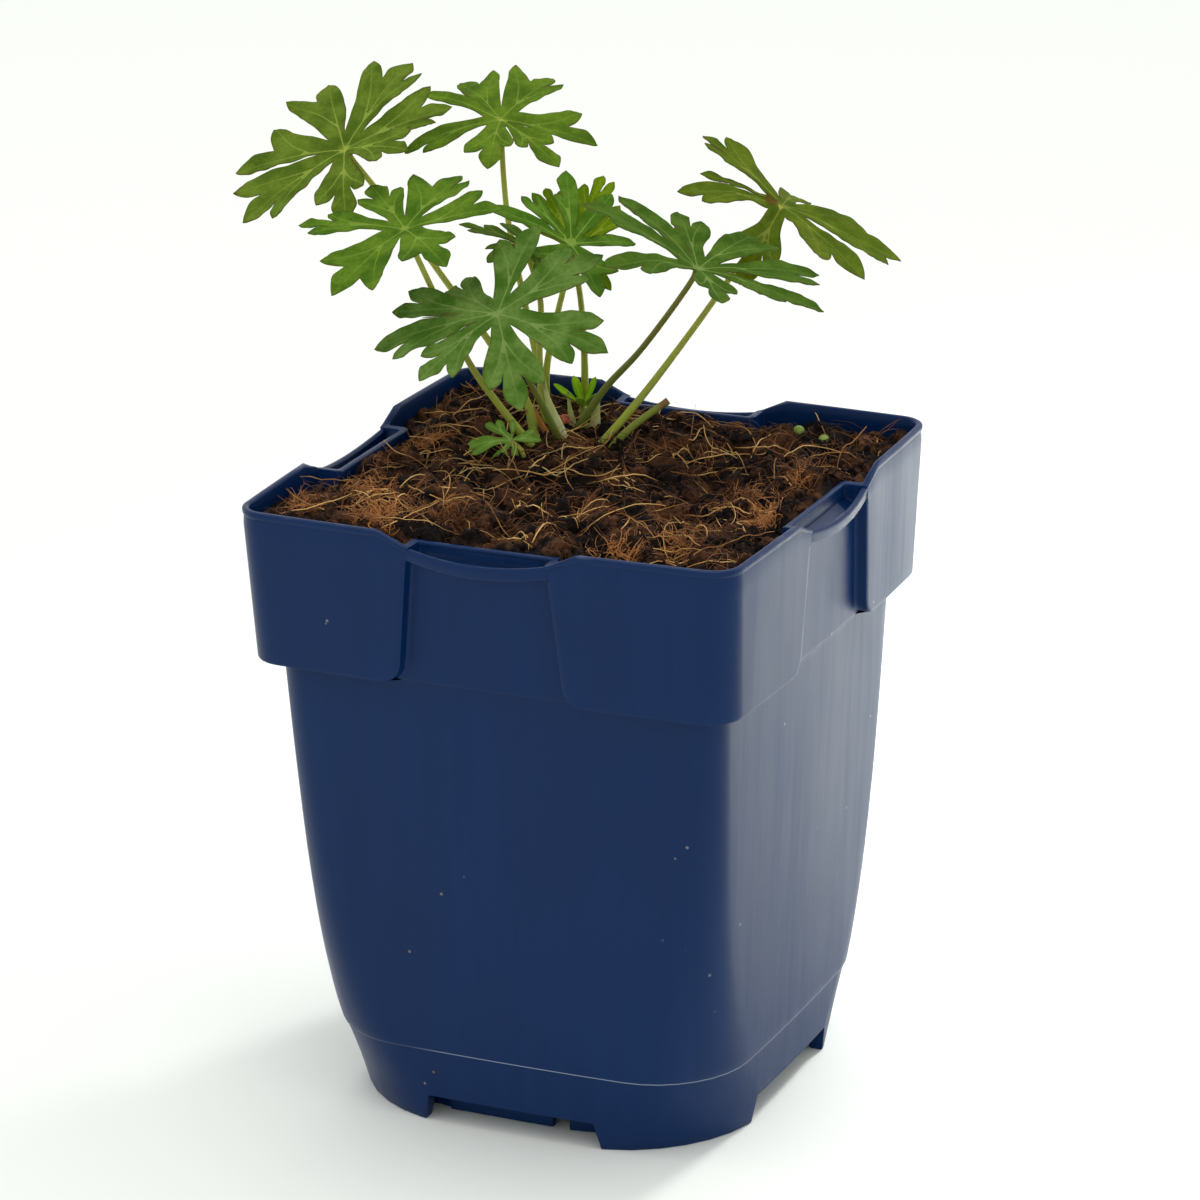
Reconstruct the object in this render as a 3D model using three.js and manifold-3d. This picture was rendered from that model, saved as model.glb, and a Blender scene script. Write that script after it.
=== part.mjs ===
// A hardy geranium (cranesbill) in a square nursery pot.
// Millimetres and degrees, +Z up. The model is drawn round the pot's axis with the pot's feet at z = 0,
// and the finished group is moved so that its bounding box is centred on the origin.

import * as THREE from 'three';
import { mergeVertices } from 'three/addons/utils/BufferGeometryUtils.js';
import Module from 'manifold-3d';

// Pot
const potHeight = 110;
const rimHalf = 45;               // half the width across the rim, wing face to wing face
const rimCorner = 4.7;            // corner radius at the rim
const collarFoot = 83;            // underside of the collar
const collarFootHalf = 43.9;
const collarFootCorner = 5.6;
const sideBulge = 1.1;            // each side swells this much at its middle
const wall = 1.2;
const wingGapTop = 12.2;          // half the gap between a side's two wings, at the rim
const wingGapFoot = 15;
const wingRound = 3.5;            // radius of a wing's lower inner corner
const panelRecess = 2.2;          // middle panel, behind the wing faces
const slotRecess = 4.1;           // inner wall behind the label band
const slotFoot = 104.3;
const slotLedge = 1.4;            // height of the slant into the slot
const rimDip = 2.4;               // the rim drops this much between the wings
const rimDipRun = 5.5;
const band = { thickness: 1, height: 2.2, endDrop: 2.5, midDrop: 3.9, bulge: 0.8, overlap: 0.9 };
const bodyTop = { half: 40.55, corner: 5.1 };
const skirtLine = 13.9;           // small ledge round the foot of the body
const skirtStep = 0.3;
const lipStep = 0.25;             // the rim's small roll stands out this much
const lipRange = [108, 108.9, 109.9];   // the roll begins, is full, and ends at these heights
const floorUnder = 6;
const floorThickness = 1.4;
const footHollow = { half: 34.2, corner: 26 };
const notch = { height: 5, topHalf: 15.5, footHalf: 16.5, depth: 13.6 };
const footring = { half: 30.5, corner: 17, width: 1.4, lift: 0.3, gap: 3, gapShift: 7 };
const drain = { radius: 4, sides: 16, reach: 17, slotHalf: 1.6, slotLength: 14, slotShift: 2 };
const over = 1;                   // cutting bodies run this far past what they cut

// Soil
const soilGap = 0.3;
const soilLevel = 105;
const soilGrid = 3.4;
const lumpCount = 60;
const lumpSeed = 12;
const lumpField = 42;             // lumps lie this far out from the pot's axis at most
const lumpRadius = [3.5, 8.5];
const lumpRise = [-1.3, 1.9];
const swells = [
  { x: -13, y: 20, wide: 15, deep: 13, rise: 2.3 },     // mound round the crown
  { x: -28, y: -28, wide: 16, deep: 16, rise: 1.4 },
  { x: 16, y: -30, wide: 22, deep: 12, rise: 1.1 },
  { x: -44, y: -2, wide: 5, deep: 22, rise: -3.2 },     // hollow along one wall
  { x: 20, y: 4, wide: 9, deep: 9, rise: -2.2 },
  { x: 8, y: 42, wide: 40, deep: 5, rise: -1 },
];

// Leaves
const bladeThickness = 0.65;
const bladeFold = 10;             // each lobe is folded up this much along its midrib
const bladeDroop = 22;            // a lobe bends down this much from base to tip
const branchPart = 0.42;          // side teeth leave the midrib at this part of a lobe
const mainWidth = 0.25;           // a main tooth's width, as part of its lobe's reach
const sideWidth = 0.21;
const plainSide = 0.84;           // a lobe's side without a tooth is this much of the main width
const toothCleft = 0.6;           // the cleft between two teeth starts at this part of the shorter one
const flankReach = 0.44;          // below its side tooth a lobe is widest from this part of the tooth's reach
const flankTurn = 4;              // and there it is this much wider than the tooth's own turn
const sinusReach = 3.8;           // clefts between lobes end this far from the leaf's centre
const stalkSinus = 1.4;           // the open cleft over the leaf stalk
const stalkSinusGap = 58;         // wider gaps between lobes than this are open clefts
const toothSinusGap = 12;         // added to that for each side tooth at the gap
const fullReach = 20;             // the cleft sizes above are those of a lobe with this reach
const smallestCleft = 0.3;
const lobeMargin = 0.25;          // an edge keeps this far from the middle of its cleft
const spineParts = [0.3, 0.66];   // where a lobe's midrib bends
const stalkRadius = 0.6;
const stalkSides = 6;
const stalkStep = 5.5;
const knotRadius = 1.05;
const rootDepth = 5.5;
const holeRise = 5;
const holeGap = 0.45;
const stubSteps = 5;
const sheathTip = 0.3;            // a sheath's tip is this part of its foot's width
const seatDepth = 0.55;           // a stalk ends this far under the top of its blade

// A leaf's lobes are [aim, reach, rise, teeth]: the aim is a compass angle in plan, counted
// anticlockwise from +X, and a tooth is [turn from the aim, reach].
const leaves = [
  {
    name: 'leaf_top_left', hub: [-56.8, 23.4, 154.1], tilt: 28, lean: -102,
    stalk: [[-17.6, 17, 107], [-20.2, 18.8, 113], [-38.9, 21.7, 135.2], [-51.2, 23, 148.3]],
    lobes: [
      [31, 20.5, 13, [[-13, 17.5], [20, 19]]], [72, 21.5, 19, [[-14, 19.5], [19, 19.5]]],
      [121, 21, 10, [[25, 19]]], [192, 21.5, 7, [[-27, 16]]], [233, 22.5, 7, [[-19, 21], [17, 19.5]]],
      [292, 19.5, 7, [[-19, 15.5], [17, 13]]], [343, 17.5, 26, [[-19, 15.5], [15, 16]]],
    ],
  },
  {
    name: 'leaf_top_middle', hub: [-37.4, 46.8, 155.8], tilt: 21, lean: -75,
    stalk: [[-18, 24.5, 107], [-22.9, 29.1, 117.7], [-32.3, 38.5, 139.1], [-34.7, 41.9, 146.1]],
    lobes: [
      [3, 18.5, 3, [[23, 14.5]]], [82, 18, 3, [[-15, 15.5], [24, 18]]], [138, 19, 1, [[-20, 18]]],
      [174, 16, 15, []], [223, 18.5, 6, [[11, 16]]], [287, 18, 17, [[-18, 15], [16, 12]]],
      [328, 18.5, 10, [[-13, 11], [11, 13.5]]],
    ],
  },
  {
    name: 'leaf_middle_left', hub: [-36, 4.4, 146.6], tilt: 19, lean: -94,
    stalk: [[-15.2, 11.2, 107], [-20.8, 9, 115.1], [-25.3, 7.3, 122.3], [-34, 4.8, 141.7]],
    lobes: [
      [25, 17.5, 13, [[20, 15]]], [84, 19.5, 7, [[-12, 17], [25, 16.5]]],
      [134, 18, 8, [[-17, 13.5], [18, 13.5]]], [187, 19.5, 12, [[-10, 15], [11, 17]]],
      [251, 19.5, 5, [[-24, 16], [25, 18]]], [318, 18.5, 16, [[-24, 15], [22, 13]]],
    ],
  },
  {
    name: 'leaf_centre', hub: [-13.6, 23.9, 141], tilt: 28, lean: -34,
    stalk: [[-15.5, 32, 107], [-14.6, 31, 115], [-13.6, 27.6, 129.8]],
    lobes: [
      [58, 15, -1, []], [91, 16.5, 14, []], [123, 16.5, 22, [[15, 10.5]]], [153, 15, 8, [[-9, 14]]],
      [184, 16.5, 11, []], [269, 14.5, 18, [[-20, 11]]], [316, 15, 16, [[28, 11]]],
    ],
  },
  {
    name: 'leaf_centre_back', hub: [-18.8, 36.2, 136.9], tilt: 36, lean: -73,
    stalk: [[-21.6, 30, 106.2], [-21.9, 30.6, 114.8], [-21.2, 32, 121.5], [-19.8, 34.2, 130]],
    lobes: [
      [57, 12.5, 5, [[14, 12.5]]], [92, 16, 15, [[-10, 15], [11, 13]]], [132, 15, 10, [[-9, 13], [11, 14.5]]],
      [162, 13, 7, []], [205, 11, 0, []], [330, 11, 0, []],
    ],
  },
  {
    name: 'leaf_right_centre', hub: [12.3, 19.1, 140.5], tilt: 19, lean: 6,
    stalk: [[-13.6, 24.8, 107], [-7.7, 24.2, 115.5], [-0.4, 22.9, 123.5], [10.4, 19.6, 137.4]],
    lobes: [
      [10, 23, 14, [[-22, 18]]], [45, 23, 16, [[-20, 21]]], [86, 20.5, 18, [[-19, 19]]],
      [126, 20.5, 14, [[-12, 17]]], [161, 21.5, 20, []], [197, 23, 21, [[14, 18]]],
      [239, 21, 12, [[20, 16.5]]], [307, 17, 16, [[-16, 13], [16, 13]]],
    ],
  },
  {
    name: 'leaf_front', hub: [-16.4, -0.6, 134.9], tilt: 30, lean: -96,
    stalk: [[-13.2, 17.2, 107], [-14.2, 12.8, 114.4], [-15.4, 8, 122]],
    lobes: [
      [47, 21, 11, [[-19, 17], [16, 18]]], [90, 21, 12, [[18, 16.5]]], [147, 20, -6, [[-12, 18]]],
      [181, 20.5, 9, [[-12, 18.5]], 13], [204, 22.5, 9, [[17, 19.5]]], [244, 19, 12, [[-12, 15.5], [21, 17]]],
      [299, 21.5, 1, [[-15, 17], [16, 19]]], [349, 22, 1, [[-17, 19], [16, 19]]],
    ],
  },
  {
    name: 'leaf_right', hub: [16.1, 48, 144.8], tilt: 26, lean: -14,
    stalk: [[-6.3, 18.8, 107], [-1.3, 24.8, 114.2], [4.6, 32.2, 124], [9.6, 39, 133]],
    lobes: [
      [13, 23, 8, [[-12, 21.5]]], [46, 21, -2, []], [100, 18.5, -12, [[-12, 15]]],
      [170, 19.5, 18, [[-11, 17], [11, 17.5]]], [193, 15.5, 8, []], [216, 19.5, 7, [[15, 16.5]]],
      [278, 18, -20, [[-17, 14], [16, 13]]], [339, 22, 10, [[-24, 18.5]]],
    ],
  },
  {
    name: 'leaf_behind_front', hub: [-22.5, 24.3, 139.8], tilt: 15, lean: 0, footRadius: 1.4,
    stalk: [[-15.6, 20, 107], [-17.2, 19.2, 111.8], [-18.5, 20.6, 120.8], [-19.2, 22.8, 131]],
    sheaths: [{ foot: [-15, 20.4, 104.5], tip: [-17.3, 21, 112.2], width: 0.8 }],
    lobes: [
      [133, 13, 4, []], [182, 13, 9, [[-11, 9], [22, 10.5]]], [232, 8, 7, []], [266, 14, 12, [[10, 12]]],
      [320, 9, 0, []],
    ],
  },
  {
    name: 'leaf_low', hub: [-17, 5.2, 110.6], tilt: 38, lean: -70, droop: 45, thin: 0.8,
    stalk: [[-14.6, 5.2, 107], [-15.2, 5.2, 109]],
    lobes: [
      [15, 5.5, 30, [[25, 4.5]]], [105, 3.8, 60, []], [160, 6.5, 15, [[-18, 5]]],
      [200, 9, 4, [[17, 7.5]]], [245, 6, -8, [[20, 4.5]]], [305, 4.5, 0, []],
    ],
  },
  {
    name: 'leaf_unfolding', hub: [-13.6, 28, 110.6], tilt: 12, lean: -80, droop: -8, thin: 0.75,
    footRadius: 2.5, finish: 'youngLeaf',
    stalk: [[-13.2, 28.2, 106.4], [-13.5, 28, 108.6]],
    lobes: [
      [12, 6.6, 38, []], [58, 5.6, 54, []], [142, 5.6, 54, []], [192, 6.6, 36, []],
      [238, 5.6, 42, []], [285, 5.4, 42, []], [330, 5.6, 42, []],
    ],
  },
];

const cutStub = { name: 'stalk_stub', points: [[-3.6, 17.4, 107], [-0.6, 18.8, 110.6], [5.4, 21.6, 115.5]] };

const finishes = {
  pot: { color: 0x1b3462, roughness: 0.35 },
  soil: { color: 0x3a2417, roughness: 0.95 },
  leaf: { color: 0x3f7330, roughness: 0.6 },
  youngLeaf: { color: 0x4f9a26, roughness: 0.6 },
  stalk: { color: 0x8f9f45, roughness: 0.6 },
};

const wasm = await Module();
wasm.setup();

const up = new THREE.Vector3(0, 0, 1);
const weld = 1e-4;
const radians = THREE.MathUtils.degToRad;
const { lerp } = THREE.MathUtils;
const vector = (point) => new THREE.Vector3(...point);

// Booleans

function solid(geometry) {
  const bare = new THREE.BufferGeometry();
  bare.setAttribute('position', geometry.getAttribute('position'));
  if (geometry.index) bare.setIndex(geometry.index);
  const merged = mergeVertices(bare, weld);
  return new wasm.Manifold(new wasm.Mesh({
    numProp: 3,
    vertProperties: new Float32Array(merged.getAttribute('position').array),
    triVerts: new Uint32Array(merged.index.array),
  }));
}

function geometryOf(manifold) {
  const mesh = manifold.getMesh();
  const geometry = new THREE.BufferGeometry();
  geometry.setAttribute('position', new THREE.BufferAttribute(new Float32Array(mesh.vertProperties), 3));
  geometry.setIndex(new THREE.BufferAttribute(new Uint32Array(mesh.triVerts), 1));
  geometry.computeVertexNormals();
  return geometry;
}

function named(name, geometry, finish) {
  const mesh = new THREE.Mesh(geometry, new THREE.MeshStandardMaterial(finish));
  mesh.name = name;
  return mesh;
}

// A closed solid through rings of equal count, stacked upwards
function loft(rings) {
  const count = rings[0].length;
  const positions = rings.flat().flatMap((point) => [point.x, point.y, point.z]);
  const index = [];
  for (let ring = 0; ring < rings.length - 1; ring += 1) {
    for (let i = 0; i < count; i += 1) {
      const a = ring * count + i;
      const b = ring * count + ((i + 1) % count);
      index.push(a, b, b + count, a, b + count, a + count);
    }
  }
  const last = (rings.length - 1) * count;
  for (const [a, b, c] of THREE.ShapeUtils.triangulateShape(flat(rings[0]), [])) index.push(a, c, b);
  for (const [a, b, c] of THREE.ShapeUtils.triangulateShape(flat(rings.at(-1)), [])) {
    index.push(last + a, last + b, last + c);
  }
  const geometry = new THREE.BufferGeometry();
  geometry.setAttribute('position', new THREE.Float32BufferAttribute(positions, 3));
  geometry.setIndex(index);
  return geometry;
}

function flat(ring) {
  return ring.map((point) => new THREE.Vector2(point.x, point.y));
}

function prism(outline, low, high) {
  const geometry = new THREE.ExtrudeGeometry(new THREE.Shape(outline), {
    depth: high - low,
    bevelEnabled: false,
    steps: 1,
  });
  return geometry.translate(0, 0, low);
}

// A prism whose outline is drawn in x and z, running along y from near to far
function crossPrism(outline, near, far) {
  return prism(outline, -far, -near).rotateX(Math.PI / 2);
}

function aboutSides(geometry) {
  return [0, 1, 2, 3].map((turn) => geometry.clone().rotateZ((turn * Math.PI) / 2));
}

// Pot outlines

const cornerSteps = 4;
const bodySteps = [-0.6, 0, 0.6];
const smallestCorner = 1;
const wingSlant = 0.4;            // the wing's step down to the panel runs this far sideways

// One ring of the pot: four sides, each from its corner's arc along its own profile.
// profile(half) gives [along, inset] points of a side, the inset counted from the side's face.
function potRing(z, half, corner, profile) {
  const side = [];
  for (const [along, inset] of profile) side.push([along, half - inset]);
  const centre = half - corner;
  const arc = [];
  for (let step = 0; step <= cornerSteps; step += 1) {
    const angle = (step / cornerSteps) * (Math.PI / 2);
    arc.push([centre + corner * Math.sin(angle), centre + corner * Math.cos(angle)]);
  }
  const points = [];
  for (let turn = 0; turn < 4; turn += 1) {
    const angle = (turn * Math.PI) / 2;
    for (const [along, out] of [...side, ...arc]) {
      const x = along;
      const y = -out;
      points.push(new THREE.Vector3(
        x * Math.cos(angle) - y * Math.sin(angle),
        x * Math.sin(angle) + y * Math.cos(angle),
        z,
      ));
    }
  }
  return points;
}

function swell(along, half) {
  return sideBulge * (1 - (along / half) ** 2);
}

function bodyRing(z, half, corner, inset) {
  const inner = half - inset;
  const innerCorner = Math.max(corner - inset, smallestCorner);
  const straight = inner - innerCorner;
  const profile = bodySteps.map((part) => [part * straight, -swell(part * straight, half)]);
  return potRing(z, inner, innerCorner, profile);
}

function collarRing(z, inset, grow) {
  const part = (z - collarFoot) / (potHeight - collarFoot);
  const half = lerp(collarFootHalf, rimHalf, part) - inset + grow;
  const corner = lerp(collarFootCorner, rimCorner, part) - inset + grow;
  const rise = THREE.MathUtils.clamp(z - collarFoot - inset, 0, wingRound);
  const rounding = wingRound - Math.sqrt(wingRound ** 2 - (wingRound - rise) ** 2);
  const gap = lerp(wingGapFoot, wingGapTop, part) + rounding + inset;
  const ledge = THREE.MathUtils.clamp((z - slotFoot + inset) / slotLedge, 0, 1);
  const recess = lerp(panelRecess, slotRecess, ledge);
  const wing = (along) => -swell(along, half);
  const panel = (along) => recess - swell(along, half);
  const straight = half - corner;
  const middle = (straight + gap) / 2;
  const profile = [
    [-middle, wing(middle)], [-gap - wingSlant, wing(gap)], [-gap, panel(gap)], [-gap / 2, panel(gap / 2)],
    [0, panel(0)],
    [gap / 2, panel(gap / 2)], [gap, panel(gap)], [gap + wingSlant, wing(gap)], [middle, wing(middle)],
  ];
  return potRing(z, half, corner, profile);
}

// z, half width and corner radius of the body
const bodySections = [
  [0, 35.6, 23], [6, 36.2, 20.5], [skirtLine - 0.1, 37 - skirtStep, 15.7], [skirtLine, 37, 15.4],
  [26, 37.8, 10.8], [42, 38.6, 7.4], [62, 39.6, 6], [collarFoot + wall, bodyTop.half, bodyTop.corner],
];

function bodyLoft(inset, low, high) {
  const sections = bodySections.filter((section) => inset === 0 || section[0] !== skirtLine);
  const at = (z) => {
    const next = Math.max(sections.findIndex((section) => section[0] >= z), 1);
    const [z0, half0, corner0] = sections[next - 1];
    const [z1, half1, corner1] = sections[next];
    const part = (z - z0) / (z1 - z0);
    return bodyRing(z, half0 + part * (half1 - half0), corner0 + part * (corner1 - corner0), inset);
  };
  const between = sections.map((section) => section[0]).filter((z) => z > low && z < high);
  return loft([low, ...between, high].map(at));
}

const rimRoll = [108.7, 109, 109.7];
const roundingParts = [0.1, 0.4, 1];

function collarLoft(inset, low, high, grow = () => 0) {
  const rounding = roundingParts.map((part) => collarFoot + inset + part * wingRound);
  const ledge = slotFoot - inset;
  const levels = [...rounding, ledge, ledge + slotLedge, ...(inset ? [] : rimRoll)];
  const between = levels.filter((z) => z > low && z < high);
  return loft([low, ...between, high].map((z) => collarRing(z, inset, grow(z))));
}

// The inside of the pot, less an inset from its outer faces
function potInside(inset, low, high) {
  const shelf = collarFoot + inset;
  const body = solid(bodyLoft(inset, low, collarFoot + wall));
  const through = [shelf - wall, shelf + wall / 3];
  const link = solid(loft(through.map((z) => bodyRing(z, bodyTop.half, bodyTop.corner, inset))));
  return body.add(link).add(solid(collarLoft(inset, shelf, high)));
}

// Label band: a crescent strip across the gap between two wings
function labelBand() {
  const reach = wingGapTop + band.overlap;
  const steps = 10;
  const plan = [];
  const front = [];
  const points = Array.from({ length: steps + 1 }, (_, i) => -reach + (2 * reach * i) / steps);
  const out = (x) => rimHalf + swell(x, rimHalf) - lipStep + band.bulge * (1 - (x / reach) ** 2);
  const top = (x) => potHeight - lerp(band.midDrop, band.endDrop, (x / reach) ** 2);
  for (const x of points) plan.push(new THREE.Vector2(x, -out(x)));
  for (const x of [...points].reverse()) plan.push(new THREE.Vector2(x, -out(x) + band.thickness));
  for (const x of points) front.push(new THREE.Vector2(x, top(x) - band.height));
  for (const x of [...points].reverse()) front.push(new THREE.Vector2(x, top(x)));
  const upright = solid(prism(plan, slotFoot, potHeight));
  const across = solid(crossPrism(front, -rimHalf - slotRecess, -rimHalf + slotRecess));
  return geometryOf(upright.intersect(across));
}

// The space over the rim between the wings, with an S-curve down from each wing.
// The curve starts a hair above the rim, so that it meets the rim's top at an angle.
function rimDipCutter() {
  const hair = 0.01;
  const far = wingGapTop + rimDipRun;
  const steps = 6;
  const down = Array.from({ length: steps + 1 }, (_, i) => {
    const drop = rimDip * THREE.MathUtils.smoothstep(i / steps, 0, 1);
    return new THREE.Vector2(-far + (i / steps) * rimDipRun, potHeight - drop + (i === 0 ? hair : 0));
  });
  const back = [...down].reverse().map((point) => new THREE.Vector2(-point.x, point.y));
  const above = potHeight + 2 * over;
  const shape = [new THREE.Vector2(-far, above), ...down, ...back, new THREE.Vector2(far, above)];
  return crossPrism(shape, -rimHalf - 2 * sideBulge - over, -rimHalf + 2 * slotRecess);
}

// Hollow foot with a standing ring that has a gap at each side
function buildFootRing() {
  const outline = (z, inset) => bodyRing(z, footring.half, footring.corner, inset);
  const top = floorUnder + floorThickness / 2;
  const inside = solid(loft([outline(-over, footring.width), outline(top + over, footring.width)]));
  let ring = solid(loft([outline(footring.lift, 0), outline(top, 0)])).subtract(inside);
  const gap = new THREE.BoxGeometry(footring.gap, 6 * footring.width, 2 * floorUnder);
  gap.translate(footring.gapShift, -footring.half, 0);
  for (const one of aboutSides(gap)) ring = ring.subtract(solid(one));
  return ring;
}

// A notch under each side, and the drain holes and slots in the floor
function footCutters() {
  const notchShape = [
    new THREE.Vector2(-notch.footHalf, -over), new THREE.Vector2(notch.footHalf, -over),
    new THREE.Vector2(notch.topHalf, notch.height), new THREE.Vector2(-notch.topHalf, notch.height),
  ];
  const deep = 10;
  const hole = new THREE.CylinderGeometry(drain.radius, drain.radius, deep, drain.sides);
  hole.rotateX(Math.PI / 2).translate(drain.reach, drain.reach, floorUnder);
  const slot = new THREE.BoxGeometry(2 * drain.slotHalf, drain.slotLength, deep);
  slot.translate(0, -drain.reach - drain.slotShift, floorUnder);
  return [crossPrism(notchShape, -rimHalf, -rimHalf + notch.depth), hole, slot].flatMap(aboutSides);
}

function buildPot() {
  const [rollFoot, rollFull, rollTop] = lipRange;
  const lip = (z) => (z > rollFoot && (z <= rollFull || z >= rollTop) ? -lipStep : 0);
  let pot = solid(bodyLoft(0, 0, collarFoot + wall))
    .add(solid(collarLoft(0, collarFoot, potHeight, lip)))
    .subtract(potInside(wall, floorUnder + floorThickness, potHeight + over));
  for (const side of aboutSides(rimDipCutter())) pot = pot.subtract(solid(side));
  for (const side of aboutSides(labelBand())) pot = pot.add(solid(side));
  const hollow = [-over, floorUnder].map((z) => bodyRing(z, footHollow.half, footHollow.corner, 0));
  pot = pot.subtract(solid(loft(hollow))).add(buildFootRing());
  for (const cut of footCutters()) pot = pot.subtract(solid(cut));
  return pot;
}

// Soil

function seeded(seed) {
  let state = seed;
  return () => {
    state = (state * 1664525 + 1013904223) % 4294967296;
    return state / 4294967296;
  };
}

function makeLumps() {
  const random = seeded(lumpSeed);
  return Array.from({ length: lumpCount }, () => ({
    x: lerp(-lumpField, lumpField, random()),
    y: lerp(-lumpField, lumpField, random()),
    radius: lerp(...lumpRadius, random()),
    rise: lerp(...lumpRise, random()),
  }));
}

function soilHeight(x, y, lumps) {
  let z = soilLevel;
  for (const one of swells) {
    z += one.rise * Math.exp(-(((x - one.x) / one.wide) ** 2) - ((y - one.y) / one.deep) ** 2);
  }
  for (const lump of lumps) {
    const near = 1 - ((x - lump.x) ** 2 + (y - lump.y) ** 2) / lump.radius ** 2;
    if (near > 0) z += lump.rise * near ** 2;
  }
  return z;
}

// A block whose top follows the soil's height
function terrain() {
  const lumps = makeLumps();
  const reach = rimHalf + soilGrid;
  const cells = Math.round((2 * reach) / soilGrid);
  const block = new THREE.BoxGeometry(2 * reach, 2 * reach, soilLevel, cells, cells, 1);
  const position = block.getAttribute('position');
  for (let i = 0; i < position.count; i += 1) {
    const high = position.getZ(i) > 0;
    position.setZ(i, high ? soilHeight(position.getX(i), position.getY(i), lumps) : 0);
  }
  return solid(block);
}

function buildSoil(stalkHoles) {
  const bed = floorUnder + floorThickness + soilGap;
  let soil = potInside(wall + soilGap, bed, potHeight).intersect(terrain());
  for (const hole of stalkHoles) soil = soil.subtract(hole);
  return soil;
}

// Stalks

function stalkCurve(points) {
  const ground = vector(points[0]);
  const lean = vector(points[1]).sub(ground).normalize();
  const root = ground.clone().addScaledVector(lean, -rootDepth);
  return new THREE.CatmullRomCurve3([root, ...points.map(vector)]);
}

function roundShape(radius) {
  const shape = new THREE.Shape();
  for (let side = 0; side < stalkSides; side += 1) {
    const angle = (2 * Math.PI * side) / stalkSides;
    const x = radius * Math.cos(angle);
    const y = radius * Math.sin(angle);
    if (side === 0) shape.moveTo(x, y);
    else shape.lineTo(x, y);
  }
  return shape;
}

function tube(curve, radius, steps) {
  return new THREE.ExtrudeGeometry(roundShape(radius), { steps, extrudePath: curve, bevelEnabled: false });
}

// A plain hole for a stalk's foot, up through the soil's surface
function stalkHole(points, radius) {
  const ground = vector(points[0]);
  const lean = vector(points[1]).sub(ground).normalize();
  const foot = ground.clone().addScaledVector(lean, -(rootDepth + holeGap));
  const top = ground.clone().addScaledVector(lean, holeRise);
  return solid(tube(new THREE.LineCurve3(foot, top), radius + holeGap, 1));
}

// A sheath: a slim cone beside a stalk's foot
function sheath({ foot, tip, width }) {
  const low = vector(foot);
  const high = vector(tip);
  const length = low.distanceTo(high);
  const cone = new THREE.CylinderGeometry(sheathTip * width, width, length, 8);
  cone.rotateX(Math.PI / 2).translate(0, 0, length / 2);
  const turn = new THREE.Quaternion().setFromUnitVectors(up, high.clone().sub(low).normalize());
  return cone.applyQuaternion(turn).translate(...low.toArray());
}

// Blades

// A point of a lobe, along its midrib and across it, in its leaf's own frame
function lobePoint(lobe, along, across) {
  const bend = radians(lobe.droop) / lobe.reach;
  const start = radians(lobe.rise);
  const end = start - bend * along;
  const level = (Math.sin(start) - Math.sin(end)) / bend;
  const height = (Math.cos(end) - Math.cos(start)) / bend;
  const ahead = new THREE.Vector3(Math.cos(lobe.aim), Math.sin(lobe.aim), 0);
  const left = new THREE.Vector3(-Math.sin(lobe.aim), Math.cos(lobe.aim), 0);
  const normal = ahead.clone().multiplyScalar(-Math.sin(end)).addScaledVector(up, Math.cos(end));
  const point = ahead.clone().multiplyScalar(level).addScaledVector(up, height);
  point.addScaledVector(left, across * Math.cos(radians(bladeFold)));
  point.addScaledVector(normal, Math.abs(across) * Math.sin(radians(bladeFold)));
  return { point, normal };
}

// One side of a lobe's edge from its cleft to its tip, as [along, across] with across > 0
function lobeEdge(reach, tooth) {
  const branch = branchPart * reach;
  const main = (mainWidth * reach) / 2;
  const rest = reach - branch;
  const crown = (width) => [[branch + 0.84 * rest, 0.72 * width], [branch + 0.95 * rest, 0.38 * width]];
  if (!tooth) {
    const plain = plainSide * main;
    return [[branch, 0.9 * plain], [0.7 * reach, plain], ...crown(plain)];
  }
  const [turn, toothReach] = tooth;
  const tip = new THREE.Vector2(toothReach * Math.cos(turn), toothReach * Math.sin(turn));
  const start = new THREE.Vector2(branch, 0);
  const length = tip.distanceTo(start);
  const axis = tip.clone().sub(start).normalize();
  const side = (sideWidth * reach) / 2;
  const beside = (part, out) => {
    const x = start.x + part * length * axis.x - out * side * axis.y;
    const y = start.y + part * length * axis.y + out * side * axis.x;
    return [x, y];
  };
  const half = Math.atan2(axis.y, axis.x) / 2;
  const depth = toothCleft * Math.min(length, rest);
  const cleft = [branch + depth * Math.cos(half), depth * Math.sin(half)];
  // both teeth keep to their own side of the cleft between them
  const between = ([x, y], low, high) => {
    const out = Math.hypot(x - branch, y);
    const spare = lobeMargin / out;
    const angle = THREE.MathUtils.clamp(Math.atan2(y, x - branch), low + spare, high - spare);
    return [branch + out * Math.cos(angle), out * Math.sin(angle)];
  };
  const flank = turn + radians(flankTurn);
  const shoulder = [flankReach * toothReach * Math.cos(flank), flankReach * toothReach * Math.sin(flank)];
  const inner = between(beside(0.86, -0.62), half, Math.PI);
  const mainEdge = [[branch + 0.7 * rest, 0.95 * main], ...crown(main)].map((point) => between(point, 0, half));
  return [
    shoulder, beside(0.7, 0.97), beside(0.92, 0.5), [tip.x, tip.y], inner, cleft, ...mainEdge,
  ];
}

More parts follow.
